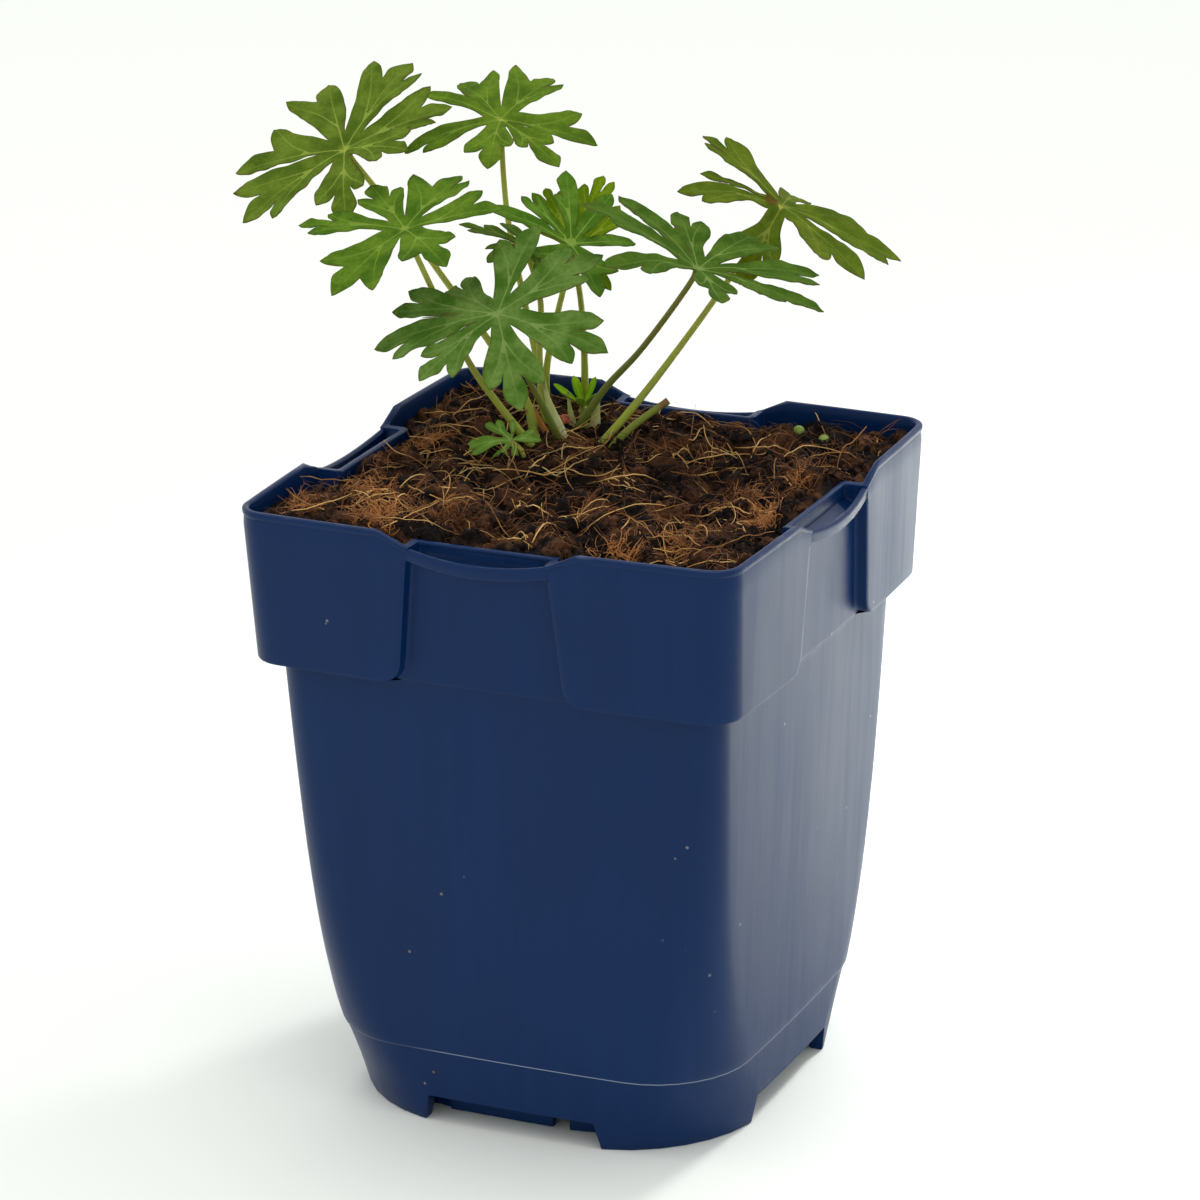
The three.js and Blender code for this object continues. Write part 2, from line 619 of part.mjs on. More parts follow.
// The lobes of a leaf with their clefts: a lobe keeps inside its own sector
function leafLobes(leaf) {
  const lobes = leaf.lobes.map(([aim, reach, rise, teeth, cut]) => ({
    aim: radians(aim), reach, rise, cut, droop: leaf.droop ?? bladeDroop,
    left: teeth.find(([turn]) => turn > 0),
    right: teeth.find(([turn]) => turn < 0),
  }));
  lobes.forEach((lobe, i) => {
    const next = lobes[(i + 1) % lobes.length];
    const gap = THREE.MathUtils.euclideanModulo(next.aim - lobe.aim, 2 * Math.PI);
    const leftTurn = radians(lobe.left ? lobe.left[0] : 0);
    const rightTurn = radians(next.right ? next.right[0] : 0);
    const border = (leftTurn + gap + rightTurn) / 2;
    const teeth = (leftTurn ? 1 : 0) + (rightTurn ? 1 : 0);
    const open = gap > radians(stalkSinusGap + toothSinusGap * teeth);
    const scale = Math.max(Math.min(lobe.reach, next.reach) / fullReach, smallestCleft);
    const cut = (lobe.cut ?? (open ? stalkSinus : sinusReach)) * scale;
    lobe.leftCleft = { turn: border, cut };
    next.rightCleft = { turn: gap - border, cut };
  });
  return lobes;
}

function keepInside([along, across], cleft) {
  const radius = Math.hypot(along, across);
  const limit = cleft.turn - lobeMargin / radius;
  const turn = Math.min(Math.atan2(across, along), limit);
  return [radius * Math.cos(turn), radius * Math.sin(turn)];
}

function blade(leaf) {
  const tops = [];
  const normals = [];
  const index = [];
  const add = (point, normal) => {
    tops.push(point);
    normals.push(normal);
    return tops.length - 1;
  };
  const lobes = leafLobes(leaf);
  const hub = add(new THREE.Vector3(), up.clone());
  const edges = [];
  const clefts = lobes.map((lobe, i) => {
    const next = lobes[(i + 1) % lobes.length];
    const { turn, cut } = lobe.leftCleft;
    const mine = lobePoint(lobe, cut * Math.cos(turn), cut * Math.sin(turn)).point;
    const other = next.rightCleft;
    const theirs = lobePoint(next, cut * Math.cos(other.turn), -cut * Math.sin(other.turn)).point;
    return add(mine.add(theirs).multiplyScalar(0.5), up.clone());
  });
  lobes.forEach((lobe, i) => {
    const tipPoint = lobePoint(lobe, lobe.reach, 0);
    const tip = add(tipPoint.point, tipPoint.normal);
    const spine = spineParts.map((part) => {
      const { point, normal } = lobePoint(lobe, part * lobe.reach, 0);
      return { id: add(point, normal), flat: new THREE.Vector2(part * lobe.reach, 0) };
    });
    for (const side of [1, -1]) {
      const tooth = side > 0 ? lobe.left : lobe.right;
      const cleft = side > 0 ? lobe.leftCleft : lobe.rightCleft;
      const edge = lobeEdge(lobe.reach, tooth && [radians(Math.abs(tooth[0])), tooth[1]])
        .map((point) => keepInside(point, cleft))
        .map(([along, across]) => {
          const { point, normal } = lobePoint(lobe, along, side * across);
          return { id: add(point, normal), flat: new THREE.Vector2(along, across) };
        });
      const cleftId = side > 0 ? clefts[i] : clefts[(i + lobes.length - 1) % lobes.length];
      const cleftFlat = new THREE.Vector2(cleft.cut * Math.cos(cleft.turn), cleft.cut * Math.sin(cleft.turn));
      const loop = [
        { id: hub, flat: new THREE.Vector2(0, 0) }, ...spine,
        { id: tip, flat: new THREE.Vector2(lobe.reach, 0) }, ...[...edge].reverse(),
        { id: cleftId, flat: cleftFlat },
      ];
      for (const [a, b, c] of THREE.ShapeUtils.triangulateShape(loop.map((one) => one.flat), [])) {
        if (side > 0) index.push([loop[a].id, loop[b].id, loop[c].id]);
        else index.push([loop[a].id, loop[c].id, loop[b].id]);
      }
      const rim = [cleftId, ...edge.map((one) => one.id), tip];
      for (let k = 0; k < rim.length - 1; k += 1) {
        edges.push(side > 0 ? [rim[k + 1], rim[k]] : [rim[k], rim[k + 1]]);
      }
    }
  });
  const count = tops.length;
  const bottoms = tops.map((point, i) => point.clone().addScaledVector(normals[i], -bladeThickness));
  const triangles = [];
  for (const [a, b, c] of index) triangles.push(a, b, c, a + count, c + count, b + count);
  for (const [a, b] of edges) triangles.push(b, a, a + count, b, a + count, b + count);
  const geometry = new THREE.BufferGeometry();
  const positions = [...tops, ...bottoms].flatMap((point) => point.toArray());
  geometry.setAttribute('position', new THREE.Float32BufferAttribute(positions, 3));
  geometry.setIndex(triangles);
  const tilt = radians(leaf.tilt);
  const lean = radians(leaf.lean);
  const face = new THREE.Vector3(Math.sin(tilt) * Math.cos(lean), Math.sin(tilt) * Math.sin(lean), Math.cos(tilt));
  const turn = new THREE.Quaternion().setFromUnitVectors(up, face);
  return { geometry: geometry.applyQuaternion(turn).translate(...leaf.hub), face };
}

function buildLeaf(leaf) {
  const { geometry, face } = blade(leaf);
  const radius = stalkRadius * (leaf.thin ?? 1);
  const seat = vector(leaf.hub).addScaledVector(face, -seatDepth);
  const curve = stalkCurve([...leaf.stalk, seat.toArray()]);
  const steps = Math.max(4, Math.round(curve.getLength() / stalkStep));
  const knot = new THREE.IcosahedronGeometry(knotRadius * (leaf.thin ?? 1), 0).translate(...seat.toArray());
  let body = solid(geometry).add(solid(tube(curve, radius, steps))).add(solid(knot));
  for (const one of leaf.sheaths ?? []) body = body.add(solid(sheath(one)));
  return body;
}

// Assembly

const plant = new THREE.Group();
const holes = [];
for (const leaf of leaves) {
  plant.add(named(leaf.name, geometryOf(buildLeaf(leaf)), finishes[leaf.finish ?? 'leaf']));
  holes.push(stalkHole(leaf.stalk, leaf.footRadius ?? stalkRadius));
}
const stub = tube(stalkCurve(cutStub.points), stalkRadius, stubSteps);
plant.add(named(cutStub.name, stub, finishes.stalk));
holes.push(stalkHole(cutStub.points, stalkRadius));

const container = new THREE.Group();
container.add(named('pot', geometryOf(buildPot()), finishes.pot));
container.add(named('soil', geometryOf(buildSoil(holes)), finishes.soil));

const group = new THREE.Group();
group.add(container, plant);
const box = new THREE.Box3().setFromObject(group);
const centre = box.getCenter(new THREE.Vector3());
group.position.set(-centre.x, -centre.y, -box.min.z);

export default group;
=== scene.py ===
import math
import random
import bmesh
import bpy
import numpy as np
from mathutils import Matrix, Vector, noise
from mathutils.geometry import delaunay_2d_cdt


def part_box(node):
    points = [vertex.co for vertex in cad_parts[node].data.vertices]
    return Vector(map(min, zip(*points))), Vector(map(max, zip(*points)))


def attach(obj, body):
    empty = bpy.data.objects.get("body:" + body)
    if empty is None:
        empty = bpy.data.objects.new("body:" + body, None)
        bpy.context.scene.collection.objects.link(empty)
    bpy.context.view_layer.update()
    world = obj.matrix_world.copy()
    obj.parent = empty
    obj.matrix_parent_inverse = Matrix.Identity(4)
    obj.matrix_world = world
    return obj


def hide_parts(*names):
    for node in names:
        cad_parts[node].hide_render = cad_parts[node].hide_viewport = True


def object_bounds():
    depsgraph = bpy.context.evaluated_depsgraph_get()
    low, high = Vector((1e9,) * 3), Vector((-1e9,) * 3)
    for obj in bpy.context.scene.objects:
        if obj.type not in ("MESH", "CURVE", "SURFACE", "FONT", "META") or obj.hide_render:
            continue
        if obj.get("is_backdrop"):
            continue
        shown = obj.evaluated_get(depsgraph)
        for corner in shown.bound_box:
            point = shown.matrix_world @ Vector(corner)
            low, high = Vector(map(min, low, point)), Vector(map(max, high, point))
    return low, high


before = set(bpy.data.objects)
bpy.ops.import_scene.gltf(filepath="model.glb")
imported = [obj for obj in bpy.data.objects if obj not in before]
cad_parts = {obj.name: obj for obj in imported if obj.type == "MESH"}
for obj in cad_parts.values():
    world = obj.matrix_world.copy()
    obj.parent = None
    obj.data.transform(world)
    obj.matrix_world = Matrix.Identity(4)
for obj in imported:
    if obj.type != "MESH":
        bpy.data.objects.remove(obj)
cadLow, cadHigh = (np.array(corner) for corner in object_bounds())
mm = 0.001
potLow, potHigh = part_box("pot")
axis = np.array([(potLow.x + potHigh.x) / 2, (potLow.y + potHigh.y) / 2, 0]) / mm  # the pot's own middle, in mm
up = np.array([0.0, 0.0, 1.0])
print("frame loaded, pot axis at", axis.round(2))


# ---- small helpers ----

def smooth(value, low=0.0, high=1.0):
    part = np.clip((np.asarray(value, float) - low) / (high - low), 0, 1)
    return part * part * (3 - 2 * part)


def unit(vector):
    return vector / np.maximum(np.linalg.norm(vector, axis=-1, keepdims=True), 1e-12)


def makeMesh(name, points, faces, material=None, soft=True):
    mesh = bpy.data.meshes.new(name)
    mesh.from_pydata(((np.asarray(points, float) + axis) * mm).tolist(), [], [list(map(int, f)) for f in faces])
    mesh.update()
    if soft:
        mesh.polygons.foreach_set("use_smooth", [True] * len(mesh.polygons))
    obj = bpy.data.objects.new(name, mesh)
    bpy.context.scene.collection.objects.link(obj)
    if material:
        mesh.materials.append(material)
    return obj


def addAttribute(obj, name, values):
    layer = obj.data.attributes.new(name, "FLOAT", "POINT")
    layer.data.foreach_set("value", np.asarray(values, np.float32))


def finished(obj, slotName, *nodes):
    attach(obj, "root")
    if nodes:
        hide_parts(*nodes)
    return obj


def joined(objects, name):
    """"""
    bpy.ops.object.select_all(action="DESELECT")
    for obj in objects:
        obj.select_set(True)
    bpy.context.view_layer.objects.active = objects[0]
    bpy.ops.object.join()
    objects[0].name = name
    return objects[0]


def splinePoints(points, step, before=None, after=None):
    """"""
    points = [np.asarray(p, float) for p in points]
    first = before if before is not None else 2 * points[0] - points[1]
    last = after if after is not None else 2 * points[-1] - points[-2]
    chain = [np.asarray(first, float), *points, np.asarray(last, float)]
    made = []
    for i in range(1, len(chain) - 2):
        p0, p1, p2, p3 = chain[i - 1:i + 3]
        t0 = 0.0
        t1 = t0 + max(np.linalg.norm(p1 - p0), 1e-6) ** 0.5
        t2 = t1 + max(np.linalg.norm(p2 - p1), 1e-6) ** 0.5
        t3 = t2 + max(np.linalg.norm(p3 - p2), 1e-6) ** 0.5
        count = max(1, int(math.ceil(np.linalg.norm(p2 - p1) / step)))
        for k in range(count):
            t = t1 + (t2 - t1) * k / count
            a1 = (t1 - t) / (t1 - t0) * p0 + (t - t0) / (t1 - t0) * p1
            a2 = (t2 - t) / (t2 - t1) * p1 + (t - t1) / (t2 - t1) * p2
            a3 = (t3 - t) / (t3 - t2) * p2 + (t - t2) / (t3 - t2) * p3
            b1 = (t2 - t) / (t2 - t0) * a1 + (t - t0) / (t2 - t0) * a2
            b2 = (t3 - t) / (t3 - t1) * a2 + (t - t1) / (t3 - t1) * a3
            made.append((t2 - t) / (t2 - t1) * b1 + (t - t1) / (t2 - t1) * b2)
    made.append(points[-1])
    return np.array(made)


def sweep(path, radii, sides, flare=None):
    """"""
    path = np.asarray(path, float)
    tangents = unit(np.gradient(path, axis=0))
    side = unit(np.cross(tangents[0], [0.3, 0.9, 0.1]))
    points, faces = [], []
    for i, (centre, along) in enumerate(zip(path, tangents)):
        side = unit(side - np.dot(side, along) * along)
        other = np.cross(along, side)
        for k in range(sides):
            angle = 2 * math.pi * k / sides
            points.append(centre + radii[i] * (math.cos(angle) * side + math.sin(angle) * other))
    for i in range(len(path) - 1):
        for k in range(sides):
            a, b = i * sides + k, i * sides + (k + 1) % sides
            faces.append((a, b, b + sides, a + sides))
    faces.append(tuple(range(sides))[::-1])
    faces.append(tuple(range((len(path) - 1) * sides, len(path) * sides)))
    return np.array(points), faces


# ---- material helpers ----

def newMaterial(name, roughness, specular=0.5):
    material = bpy.data.materials.new(name)
    material.use_nodes = True
    tree = material.node_tree
    shader = tree.nodes["Principled BSDF"]
    shader.inputs["Roughness"].default_value = roughness
    shader.inputs["Specular IOR Level"].default_value = specular
    return material, tree, shader


def addNode(tree, kind, inputs=None, **settings):
    made = tree.nodes.new(kind)
    for key, value in settings.items():
        setattr(made, key, value)
    for key, value in (inputs or {}).items():
        if isinstance(value, bpy.types.NodeSocket):
            tree.links.new(value, made.inputs[key])
        else:
            made.inputs[key].default_value = value
    return made


def noiseValue(tree, place, scale, detail=4, roughness=0.5, distortion=0.0):
    made = addNode(tree, "ShaderNodeTexNoise", {"Vector": place, "Scale": scale, "Detail": detail,
                                                "Roughness": roughness, "Distortion": distortion})
    return made.outputs["Fac"]


def remap(tree, value, low, high, toLow=0.0, toHigh=1.0, kind="SMOOTHSTEP"):
    made = addNode(tree, "ShaderNodeMapRange", {"Value": value, "From Min": low, "From Max": high,
                                                "To Min": toLow, "To Max": toHigh}, interpolation_type=kind)
    return made.outputs["Result"]


def mathNode(tree, kind, a, b=0.0):
    made = addNode(tree, "ShaderNodeMath", {0: a, 1: b}, operation=kind)
    return made.outputs[0]


def mixColour(tree, part, a, b, kind="MIX"):
    made = addNode(tree, "ShaderNodeMix", data_type="RGBA", blend_type=kind)
    for socket, value in ((made.inputs[0], part), (made.inputs[6], a), (made.inputs[7], b)):
        if isinstance(value, bpy.types.NodeSocket):
            tree.links.new(value, socket)
        else:
            socket.default_value = value if isinstance(value, float) else (*value, 1)
    return made.outputs[2]


def addBump(tree, shader, height, strength, distance):
    made = addNode(tree, "ShaderNodeBump", {"Height": height, "Strength": strength, "Distance": distance})
    tree.links.new(made.outputs["Normal"], shader.inputs["Normal"])
    return made


def objectPlace(tree, stretch=(1, 1, 1)):
    place = addNode(tree, "ShaderNodeTexCoord").outputs["Object"]
    if stretch == (1, 1, 1):
        return place
    return addNode(tree, "ShaderNodeMapping", {"Vector": place, "Scale": stretch}).outputs["Vector"]


def srgb(*values):
    return tuple(((v / 255 + 0.055) / 1.055) ** 2.4 if v > 10 else v / 255 / 12.92 for v in values)


# ---- nursery pot ----

potSize = {
    "height": 110.0, "rimHalf": 45.0, "rimCorner": 4.7, "collarFoot": 83.0, "collarFootHalf": 43.9,
    "collarFootCorner": 5.6, "bulge": 1.1, "wall": 1.2, "gapTop": 12.2, "gapFoot": 15.0, "wingRound": 3.5,
    "recess": 2.2, "slotRecess": 4.1, "slotFoot": 104.3, "slotRise": 1.4, "dip": 2.4, "dipRun": 5.5,
    "skirtStep": 0.3, "floorUnder": 6.0, "floorTop": 7.4, "cornerSteps": 8,
}
bodySections = np.array([
    [0, 35.6, 23], [6, 36.2, 20.5], [13.9, 37, 15.4], [26, 37.8, 10.8], [42, 38.6, 7.4], [62, 39.6, 6],
    [84.2, 40.55, 5.1],
])
# the pale blue-grey colour is used twice: as a painted highlight along the skirt ledge, and as pale wear on the rim lip
potColour = {"deep": srgb(0, 33, 76), "pale": srgb(1, 42, 88), "dust": srgb(128, 122, 116),
             "highlight_and_wear": srgb(150, 158, 178), "roughness": 0.36, "specular": 0.17}


def sectionAt(z):
    z0, half, corner = bodySections.T
    slopes = [np.gradient(values, z0) for values in (half, corner)]
    i = int(np.clip(np.searchsorted(z0, z) - 1, 0, len(z0) - 2))
    width = z0[i + 1] - z0[i]
    t = (z - z0[i]) / width
    made = []
    for values, slope in zip((half, corner), slopes):
        made.append((2 * t**3 - 3 * t**2 + 1) * values[i] + (t**3 - 2 * t**2 + t) * width * slope[i]
                    + (3 * t**2 - 2 * t**3) * values[i + 1] + (t**3 - t**2) * width * slope[i + 1])
    return made


def swell(along, half):
    return potSize["bulge"] * (1 - np.minimum(np.abs(along) / half, 1) ** 2)


def potRing(z, half, corner, gap, recess):
    centre = half - corner
    steps = [0, 0.3 * gap, 0.6 * gap, gap - 1.2, gap - 0.6, gap - 0.3, gap - 0.1, gap, gap + 0.03, gap + 0.12, gap + 0.35]
    depths = [1, 1, 1, 1, 1, 0.965, 0.865, 0.73, 0.2, 0.055, 0] + [0] * 6
    if steps[-1] > centre - 1:
        steps = list(np.linspace(0, centre - 0.5, 11))
        steps += list(np.linspace(centre - 0.45, centre - 0.05, 6))
    else:
        steps += list(np.linspace(steps[-1] + 0.8, centre, 7)[:-1])
    alongs = np.array([-s for s in steps[:0:-1]] + steps)
    insets = np.array(depths[:0:-1] + depths) * recess
    angles = np.linspace(0, math.pi / 2, potSize["cornerSteps"] + 1)
    arcAlong = centre + corner * np.sin(angles)
    arcOut = centre + corner * np.cos(angles)
    lift = swell(arcAlong, half), swell(arcOut, half)
    alongAll = np.concatenate([alongs, arcAlong + lift[1]])
    outAll = np.concatenate([half - insets + swell(alongs, half), arcOut + lift[0]])
    low = potSize["height"] - 6
    dip = potSize["dip"] * (1 - smooth(np.abs(alongAll), potSize["gapTop"], potSize["gapTop"] + potSize["dipRun"]))
    heights = np.full(len(alongAll), float(z))
    if z > low:
        heights = low + (z - low) * (1 - dip / 6)
    ring = []
    for turn in range(4):
        c, s = [(1, 0), (0, 1), (-1, 0), (0, -1)][turn]
        ring.append(np.stack([alongAll * c + outAll * s, alongAll * s - outAll * c, heights], 1))
    return np.concatenate(ring)


def bodyRing(z, inset, grow=0.0):
    half, corner = sectionAt(z)
    half, corner = half - inset + grow, max(corner - inset + grow, 1)
    return potRing(z, half, corner, 0.36 * half, 0)


def collarRing(z, inset=0.0, grow=0.0):
    part = (z - potSize["collarFoot"]) / (potSize["height"] - potSize["collarFoot"])
    half = potSize["collarFootHalf"] + part * (potSize["rimHalf"] - potSize["collarFootHalf"]) - inset + grow
    corner = potSize["collarFootCorner"] + part * (potSize["rimCorner"] - potSize["collarFootCorner"]) - inset + grow
    radius = potSize["wingRound"]
    rise = np.clip(z - potSize["collarFoot"] - inset, 0, radius)
    rounding = radius - math.sqrt(radius**2 - (radius - rise) ** 2)
    gap = potSize["gapFoot"] + part * (potSize["gapTop"] - potSize["gapFoot"]) + rounding + inset
    ledge = np.clip((z - potSize["slotFoot"] + inset) / potSize["slotRise"], 0, 1)
    recess = potSize["recess"] + ledge * (potSize["slotRecess"] - potSize["recess"])
    return potRing(z, half, corner, gap, recess)


def potSurface():
    rings = [potRing(6.0, 34.2, 26, 6, 0), potRing(0.3, 34.2, 26, 6, 0), potRing(0.0, 34.4, 25.6, 6, 0)]
    rings += [bodyRing(0.0, 0, -0.3), bodyRing(0.1, 0, -0.08), bodyRing(0.35, 0)]
    rings += [bodyRing(z, 0, -0.02 - potSize["skirtStep"] * smooth(z, 4, 13)) for z in (3, 6, 9, 12, 13.4)]
    rings += [bodyRing(13.72, 0, -potSize["skirtStep"]), bodyRing(13.86, 0, -0.2), bodyRing(13.93, 0, -0.04)]
    rings += [bodyRing(z, 0) for z in (14.05, 15.5, 18, 21, 24, 27, 30, 34, 38, 42, 47, 52, 57, 62, 67, 72, 77, 81)]
    rings += [bodyRing(82.4, 0), bodyRing(82.85, 0, 0.12), bodyRing(83.0, 0, 0.4)]
    rings += [collarRing(83.0, 0, -0.35), collarRing(83.1, 0, -0.1), collarRing(83.35)]
    rings += [collarRing(z) for z in (83.8, 84.4, 85.1, 85.8, 86.5, 89, 92, 95, 98, 101, 103.5, 104.3, 104.7, 105.2, 105.7, 107)]
    rings += [collarRing(108.4, 0, -0.16), collarRing(108.75, 0, -0.2), collarRing(108.95, 0, -0.05)]
    rings += [collarRing(109.2), collarRing(109.6), collarRing(109.85, 0, -0.1), collarRing(110, 0, -0.35)]
    rings += [collarRing(110, 0.85), collarRing(109.85, 1.1), collarRing(109.6, 1.2)]
    rings += [collarRing(z, 1.2) for z in (108, 106.5, 105.2, 104.5, 103.8, 103.1, 101, 98, 94, 90, 87.7, 86.6, 85.6, 84.8, 84.2)]
    rings += [bodyRing(z, 1.2) for z in (84.2, 82, 74, 66, 58, 50, 42, 36, 30, 25, 20, 16, 13, 10.5)]
    rings += [bodyRing(8.6, 1.35), bodyRing(7.8, 1.9), bodyRing(7.4, 3)]
    count = len(rings[0])
    faces = [tuple(range(count))]
    for i in range(len(rings) - 1):
        for k in range(count):
            a, b = i * count + k, i * count + (k + 1) % count
            faces.append((a, a + count, b + count, b))
    last = (len(rings) - 1) * count
    faces.append(tuple(range(last, last + count))[::-1])
    return np.concatenate(rings), faces


bandSize = {"thickness": 1.0, "height": 2.2, "endDrop": 2.5, "midDrop": 3.9, "bulge": 0.8, "overlap": 0.9}


def labelBand():
    """"""
    reach = potSize["gapTop"] + bandSize["overlap"]
    half, height = potSize["rimHalf"], potSize["height"]
    rows = []
    for x in np.linspace(-reach, reach, 33):
        part = (x / reach) ** 2
        out = half + swell(x, half) - 0.32 + bandSize["bulge"] * (1 - part)
        top = height - (bandSize["midDrop"] + part * (bandSize["endDrop"] - bandSize["midDrop"]))
        deep, tall = bandSize["thickness"], bandSize["height"]
        section = [(0, -tall + 0.3), (0.05, -0.5), (-0.02, -0.2), (-0.25, 0), (-deep + 0.3, 0), (-deep, -0.3),
                   (-deep, -tall + 0.3), (-deep + 0.25, -tall), (-0.25, -tall)]
        rows.append([(x, -(out + o), top + z) for o, z in section])
    points = np.array(rows).reshape(-1, 3)
    sides = len(rows[0])
    faces = [tuple(range(sides))]
    for i in range(len(rows) - 1):
        for k in range(sides):
            a, b = i * sides + k, i * sides + (k + 1) % sides
            faces.append((a, a + sides, b + sides, b))
    last = (len(rows) - 1) * sides
    faces.append(tuple(range(last, last + sides))[::-1])
    return points, faces


def turned(points, turn):
    c, s = [(1, 0), (0, 1), (-1, 0), (0, -1)][turn]
    return np.stack([points[:, 0] * c - points[:, 1] * s, points[:, 0] * s + points[:, 1] * c, points[:, 2]], 1)


def prismOf(outline, low, high):
    """"""
    count = len(outline)
    points = [(x, y, low) for x, y in outline] + [(x, y, high) for x, y in outline]
    faces = [tuple(range(count))[::-1], tuple(range(count, 2 * count))]
    faces += [(k, (k + 1) % count, (k + 1) % count + count, k + count) for k in range(count)]
    return np.array(points, float), faces


def footCuts():
    """"""
    made = []
    notch = [(-16.8, -1), (16.8, -1), (15.5, 5), (-15.5, 5)]
    points = np.array([(x, y, z) for y in (-45, -31.4) for x, z in notch], float)
    faces = [(0, 1, 2, 3)[::-1], (4, 5, 6, 7), (0, 1, 5, 4), (1, 2, 6, 5), (2, 3, 7, 6), (3, 0, 4, 7)]
    made.append((points, [f[::-1] for f in faces]))
    circle = [(17 + 4 * math.cos(a), 17 + 4 * math.sin(a)) for a in np.linspace(0, 2 * math.pi, 29)[:-1]]
    made.append(prismOf(circle, 5, 9))
    made.append(prismOf([(-1.6, -26), (1.6, -26), (1.6, -12), (-1.6, -12)], 5, 9))
    return made


def footRing():
    """"""
    made = []
    half, corner, width = 30.5, 17.0, 1.4
    outline = []
    for turn in range(4):
        centre = half - corner
        arc = [(centre + corner * math.sin(a), -centre - corner * math.cos(a)) for a in np.linspace(0, math.pi / 2, 13)]
        points = np.array([(8.6, -half - 1.0)] + arc + [(half + 0.7, -14), (half + 1.0, 5.4)])
        c, s = [(1, 0), (0, 1), (-1, 0), (0, -1)][turn]
        outer = np.stack([points[:, 0] * c - points[:, 1] * s, points[:, 0] * s + points[:, 1] * c], 1)
        tangent = unit(np.gradient(outer, axis=0))
        inner = outer + width * np.stack([-tangent[:, 1], tangent[:, 0]], 1)
        made.append(prismOf([*map(tuple, outer), *map(tuple, inner[::-1])], 0.3, 6.6))
    return made


def asOne(name, parts):
    points, faces, base = [], [], 0
    for more, sides in parts:
        points.append(more)
        faces += [tuple(i + base for i in face) for face in sides]
        base += len(more)
    obj = makeMesh(name, np.concatenate(points), faces)
    form = bmesh.new()
    form.from_mesh(obj.data)
    bmesh.ops.recalc_face_normals(form, faces=form.faces)
    form.to_mesh(obj.data)
    form.free()
    return obj


def booleanInto(target, tool, kind):
    step = target.modifiers.new(kind, "BOOLEAN")
    step.operation, step.object, step.solver = kind, tool, "EXACT"
    mesh = bpy.data.meshes.new_from_object(target.evaluated_get(bpy.context.evaluated_depsgraph_get()))
    target.modifiers.remove(step)
    target.data = mesh
    bpy.data.objects.remove(tool)


def potMaterial():
    material, tree, shader = newMaterial("navy_plastic", potColour["roughness"], potColour["specular"])
    place = objectPlace(tree)
    streaks = noiseValue(tree, objectPlace(tree, (1, 1, 0.04)), 260, 3, 0.6)
    clouds = noiseValue(tree, place, 28, 3)
    shade = mathNode(tree, "MULTIPLY", remap(tree, streaks, 0.3, 0.85, 0.2, 0.7), remap(tree, clouds, 0.3, 0.7, 0.3, 1))
    colour = mixColour(tree, shade, potColour["deep"], potColour["pale"])
    specks = addNode(tree, "ShaderNodeTexVoronoi", {"Vector": place, "Scale": 260.0, "Randomness": 1.0})
    speck = mathNode(tree, "MULTIPLY", remap(tree, specks.outputs["Distance"], 0.05, 0.09, 1, 0),
                     remap(tree, noiseValue(tree, place, 70, 2), 0.58, 0.63))
    colour = mixColour(tree, mathNode(tree, "MULTIPLY", speck, 0.7), colour, potColour["dust"])
    height = addNode(tree, "ShaderNodeSeparateXYZ", {"Vector": place}).outputs["Z"]
    # painted highlight: a thin pale band along the top of the skirt ledge (z 13.75 to 14.16 mm), broken up by noise,
    # stands in for light catching the ledge edge
    line = mathNode(tree, "MULTIPLY", remap(tree, height, 13.75 * mm, 13.88 * mm), remap(tree, height, 14.0 * mm, 14.16 * mm, 1, 0))
    painted_ledge_highlight = mathNode(tree, "MULTIPLY", line, remap(tree, noiseValue(tree, place, 26, 3), 0.4, 0.6, 0.1, 0.85))
    # pale wear: sparse noise patches of the same colour along the top 0.5 mm of the rim lip
    lip = mathNode(tree, "MULTIPLY", remap(tree, height, 109.5 * mm, 110.0 * mm),
                   remap(tree, noiseValue(tree, place, 130, 4), 0.52, 0.7, 0, 0.2))
    colour = mixColour(tree, mathNode(tree, "MAXIMUM", painted_ledge_highlight, lip), colour, potColour["highlight_and_wear"])
    tree.links.new(colour, shader.inputs["Base Color"])
    rough = mathNode(tree, "ADD", remap(tree, streaks, 0.3, 0.8, -0.04, 0.05), remap(tree, clouds, 0.3, 0.7, -0.02, 0.03))
    tree.links.new(mathNode(tree, "ADD", rough, potColour["roughness"]), shader.inputs["Roughness"])
    waves = mathNode(tree, "ADD", noiseValue(tree, place, 55, 2), mathNode(tree, "MULTIPLY", streaks, 0.25))
    addBump(tree, shader, waves, 0.3, 0.0004)
    return material


def buildPot():
    points, faces = potSurface()
    pot = asOne("nursery_pot", [(points, faces)])
    booleanInto(pot, asOne("bands", [(turned(p, t), f) for t in range(4) for p, f in [labelBand()]]), "UNION")
    booleanInto(pot, asOne("ring", footRing()), "UNION")
    booleanInto(pot, asOne("cuts", [(turned(p, t), f) for t in range(4) for p, f in footCuts()]), "DIFFERENCE")
    pot.data.materials.clear()
    pot.data.materials.append(potMaterial())
    pot.data.polygons.foreach_set("material_index", [0] * len(pot.data.polygons))
    pot.data.polygons.foreach_set("use_smooth", [True] * len(pot.data.polygons))
    pot.data.set_sharp_from_angle(angle=math.radians(38))
    print("pot:", len(pot.data.polygons), "faces")
    return finished(pot, "pot", "pot")


buildPot()


# ---- soil ----

soilShape = {
    "level": 105.0, "gap": 0.32, "bottom": 7.75, "cells": 200, "lumps": 60, "seed": 12,
    "swells": [(-13, 20, 15, 13, 2.3), (-28, -28, 16, 16, 1.4), (16, -30, 22, 12, 1.1), (-44, -2, 5, 22, -3.2),
               (20, 4, 9, 9, -2.2), (8, 42, 40, 5, -1)],
    "clodRise": 2.3, "crumbRise": 1.0, "grainRise": 0.35, "crown": (-12, 19, 8),
    "bendSeed": 5,
}
noise.seed_set(soilShape["bendSeed"])   # noise_vector follows the clock without it


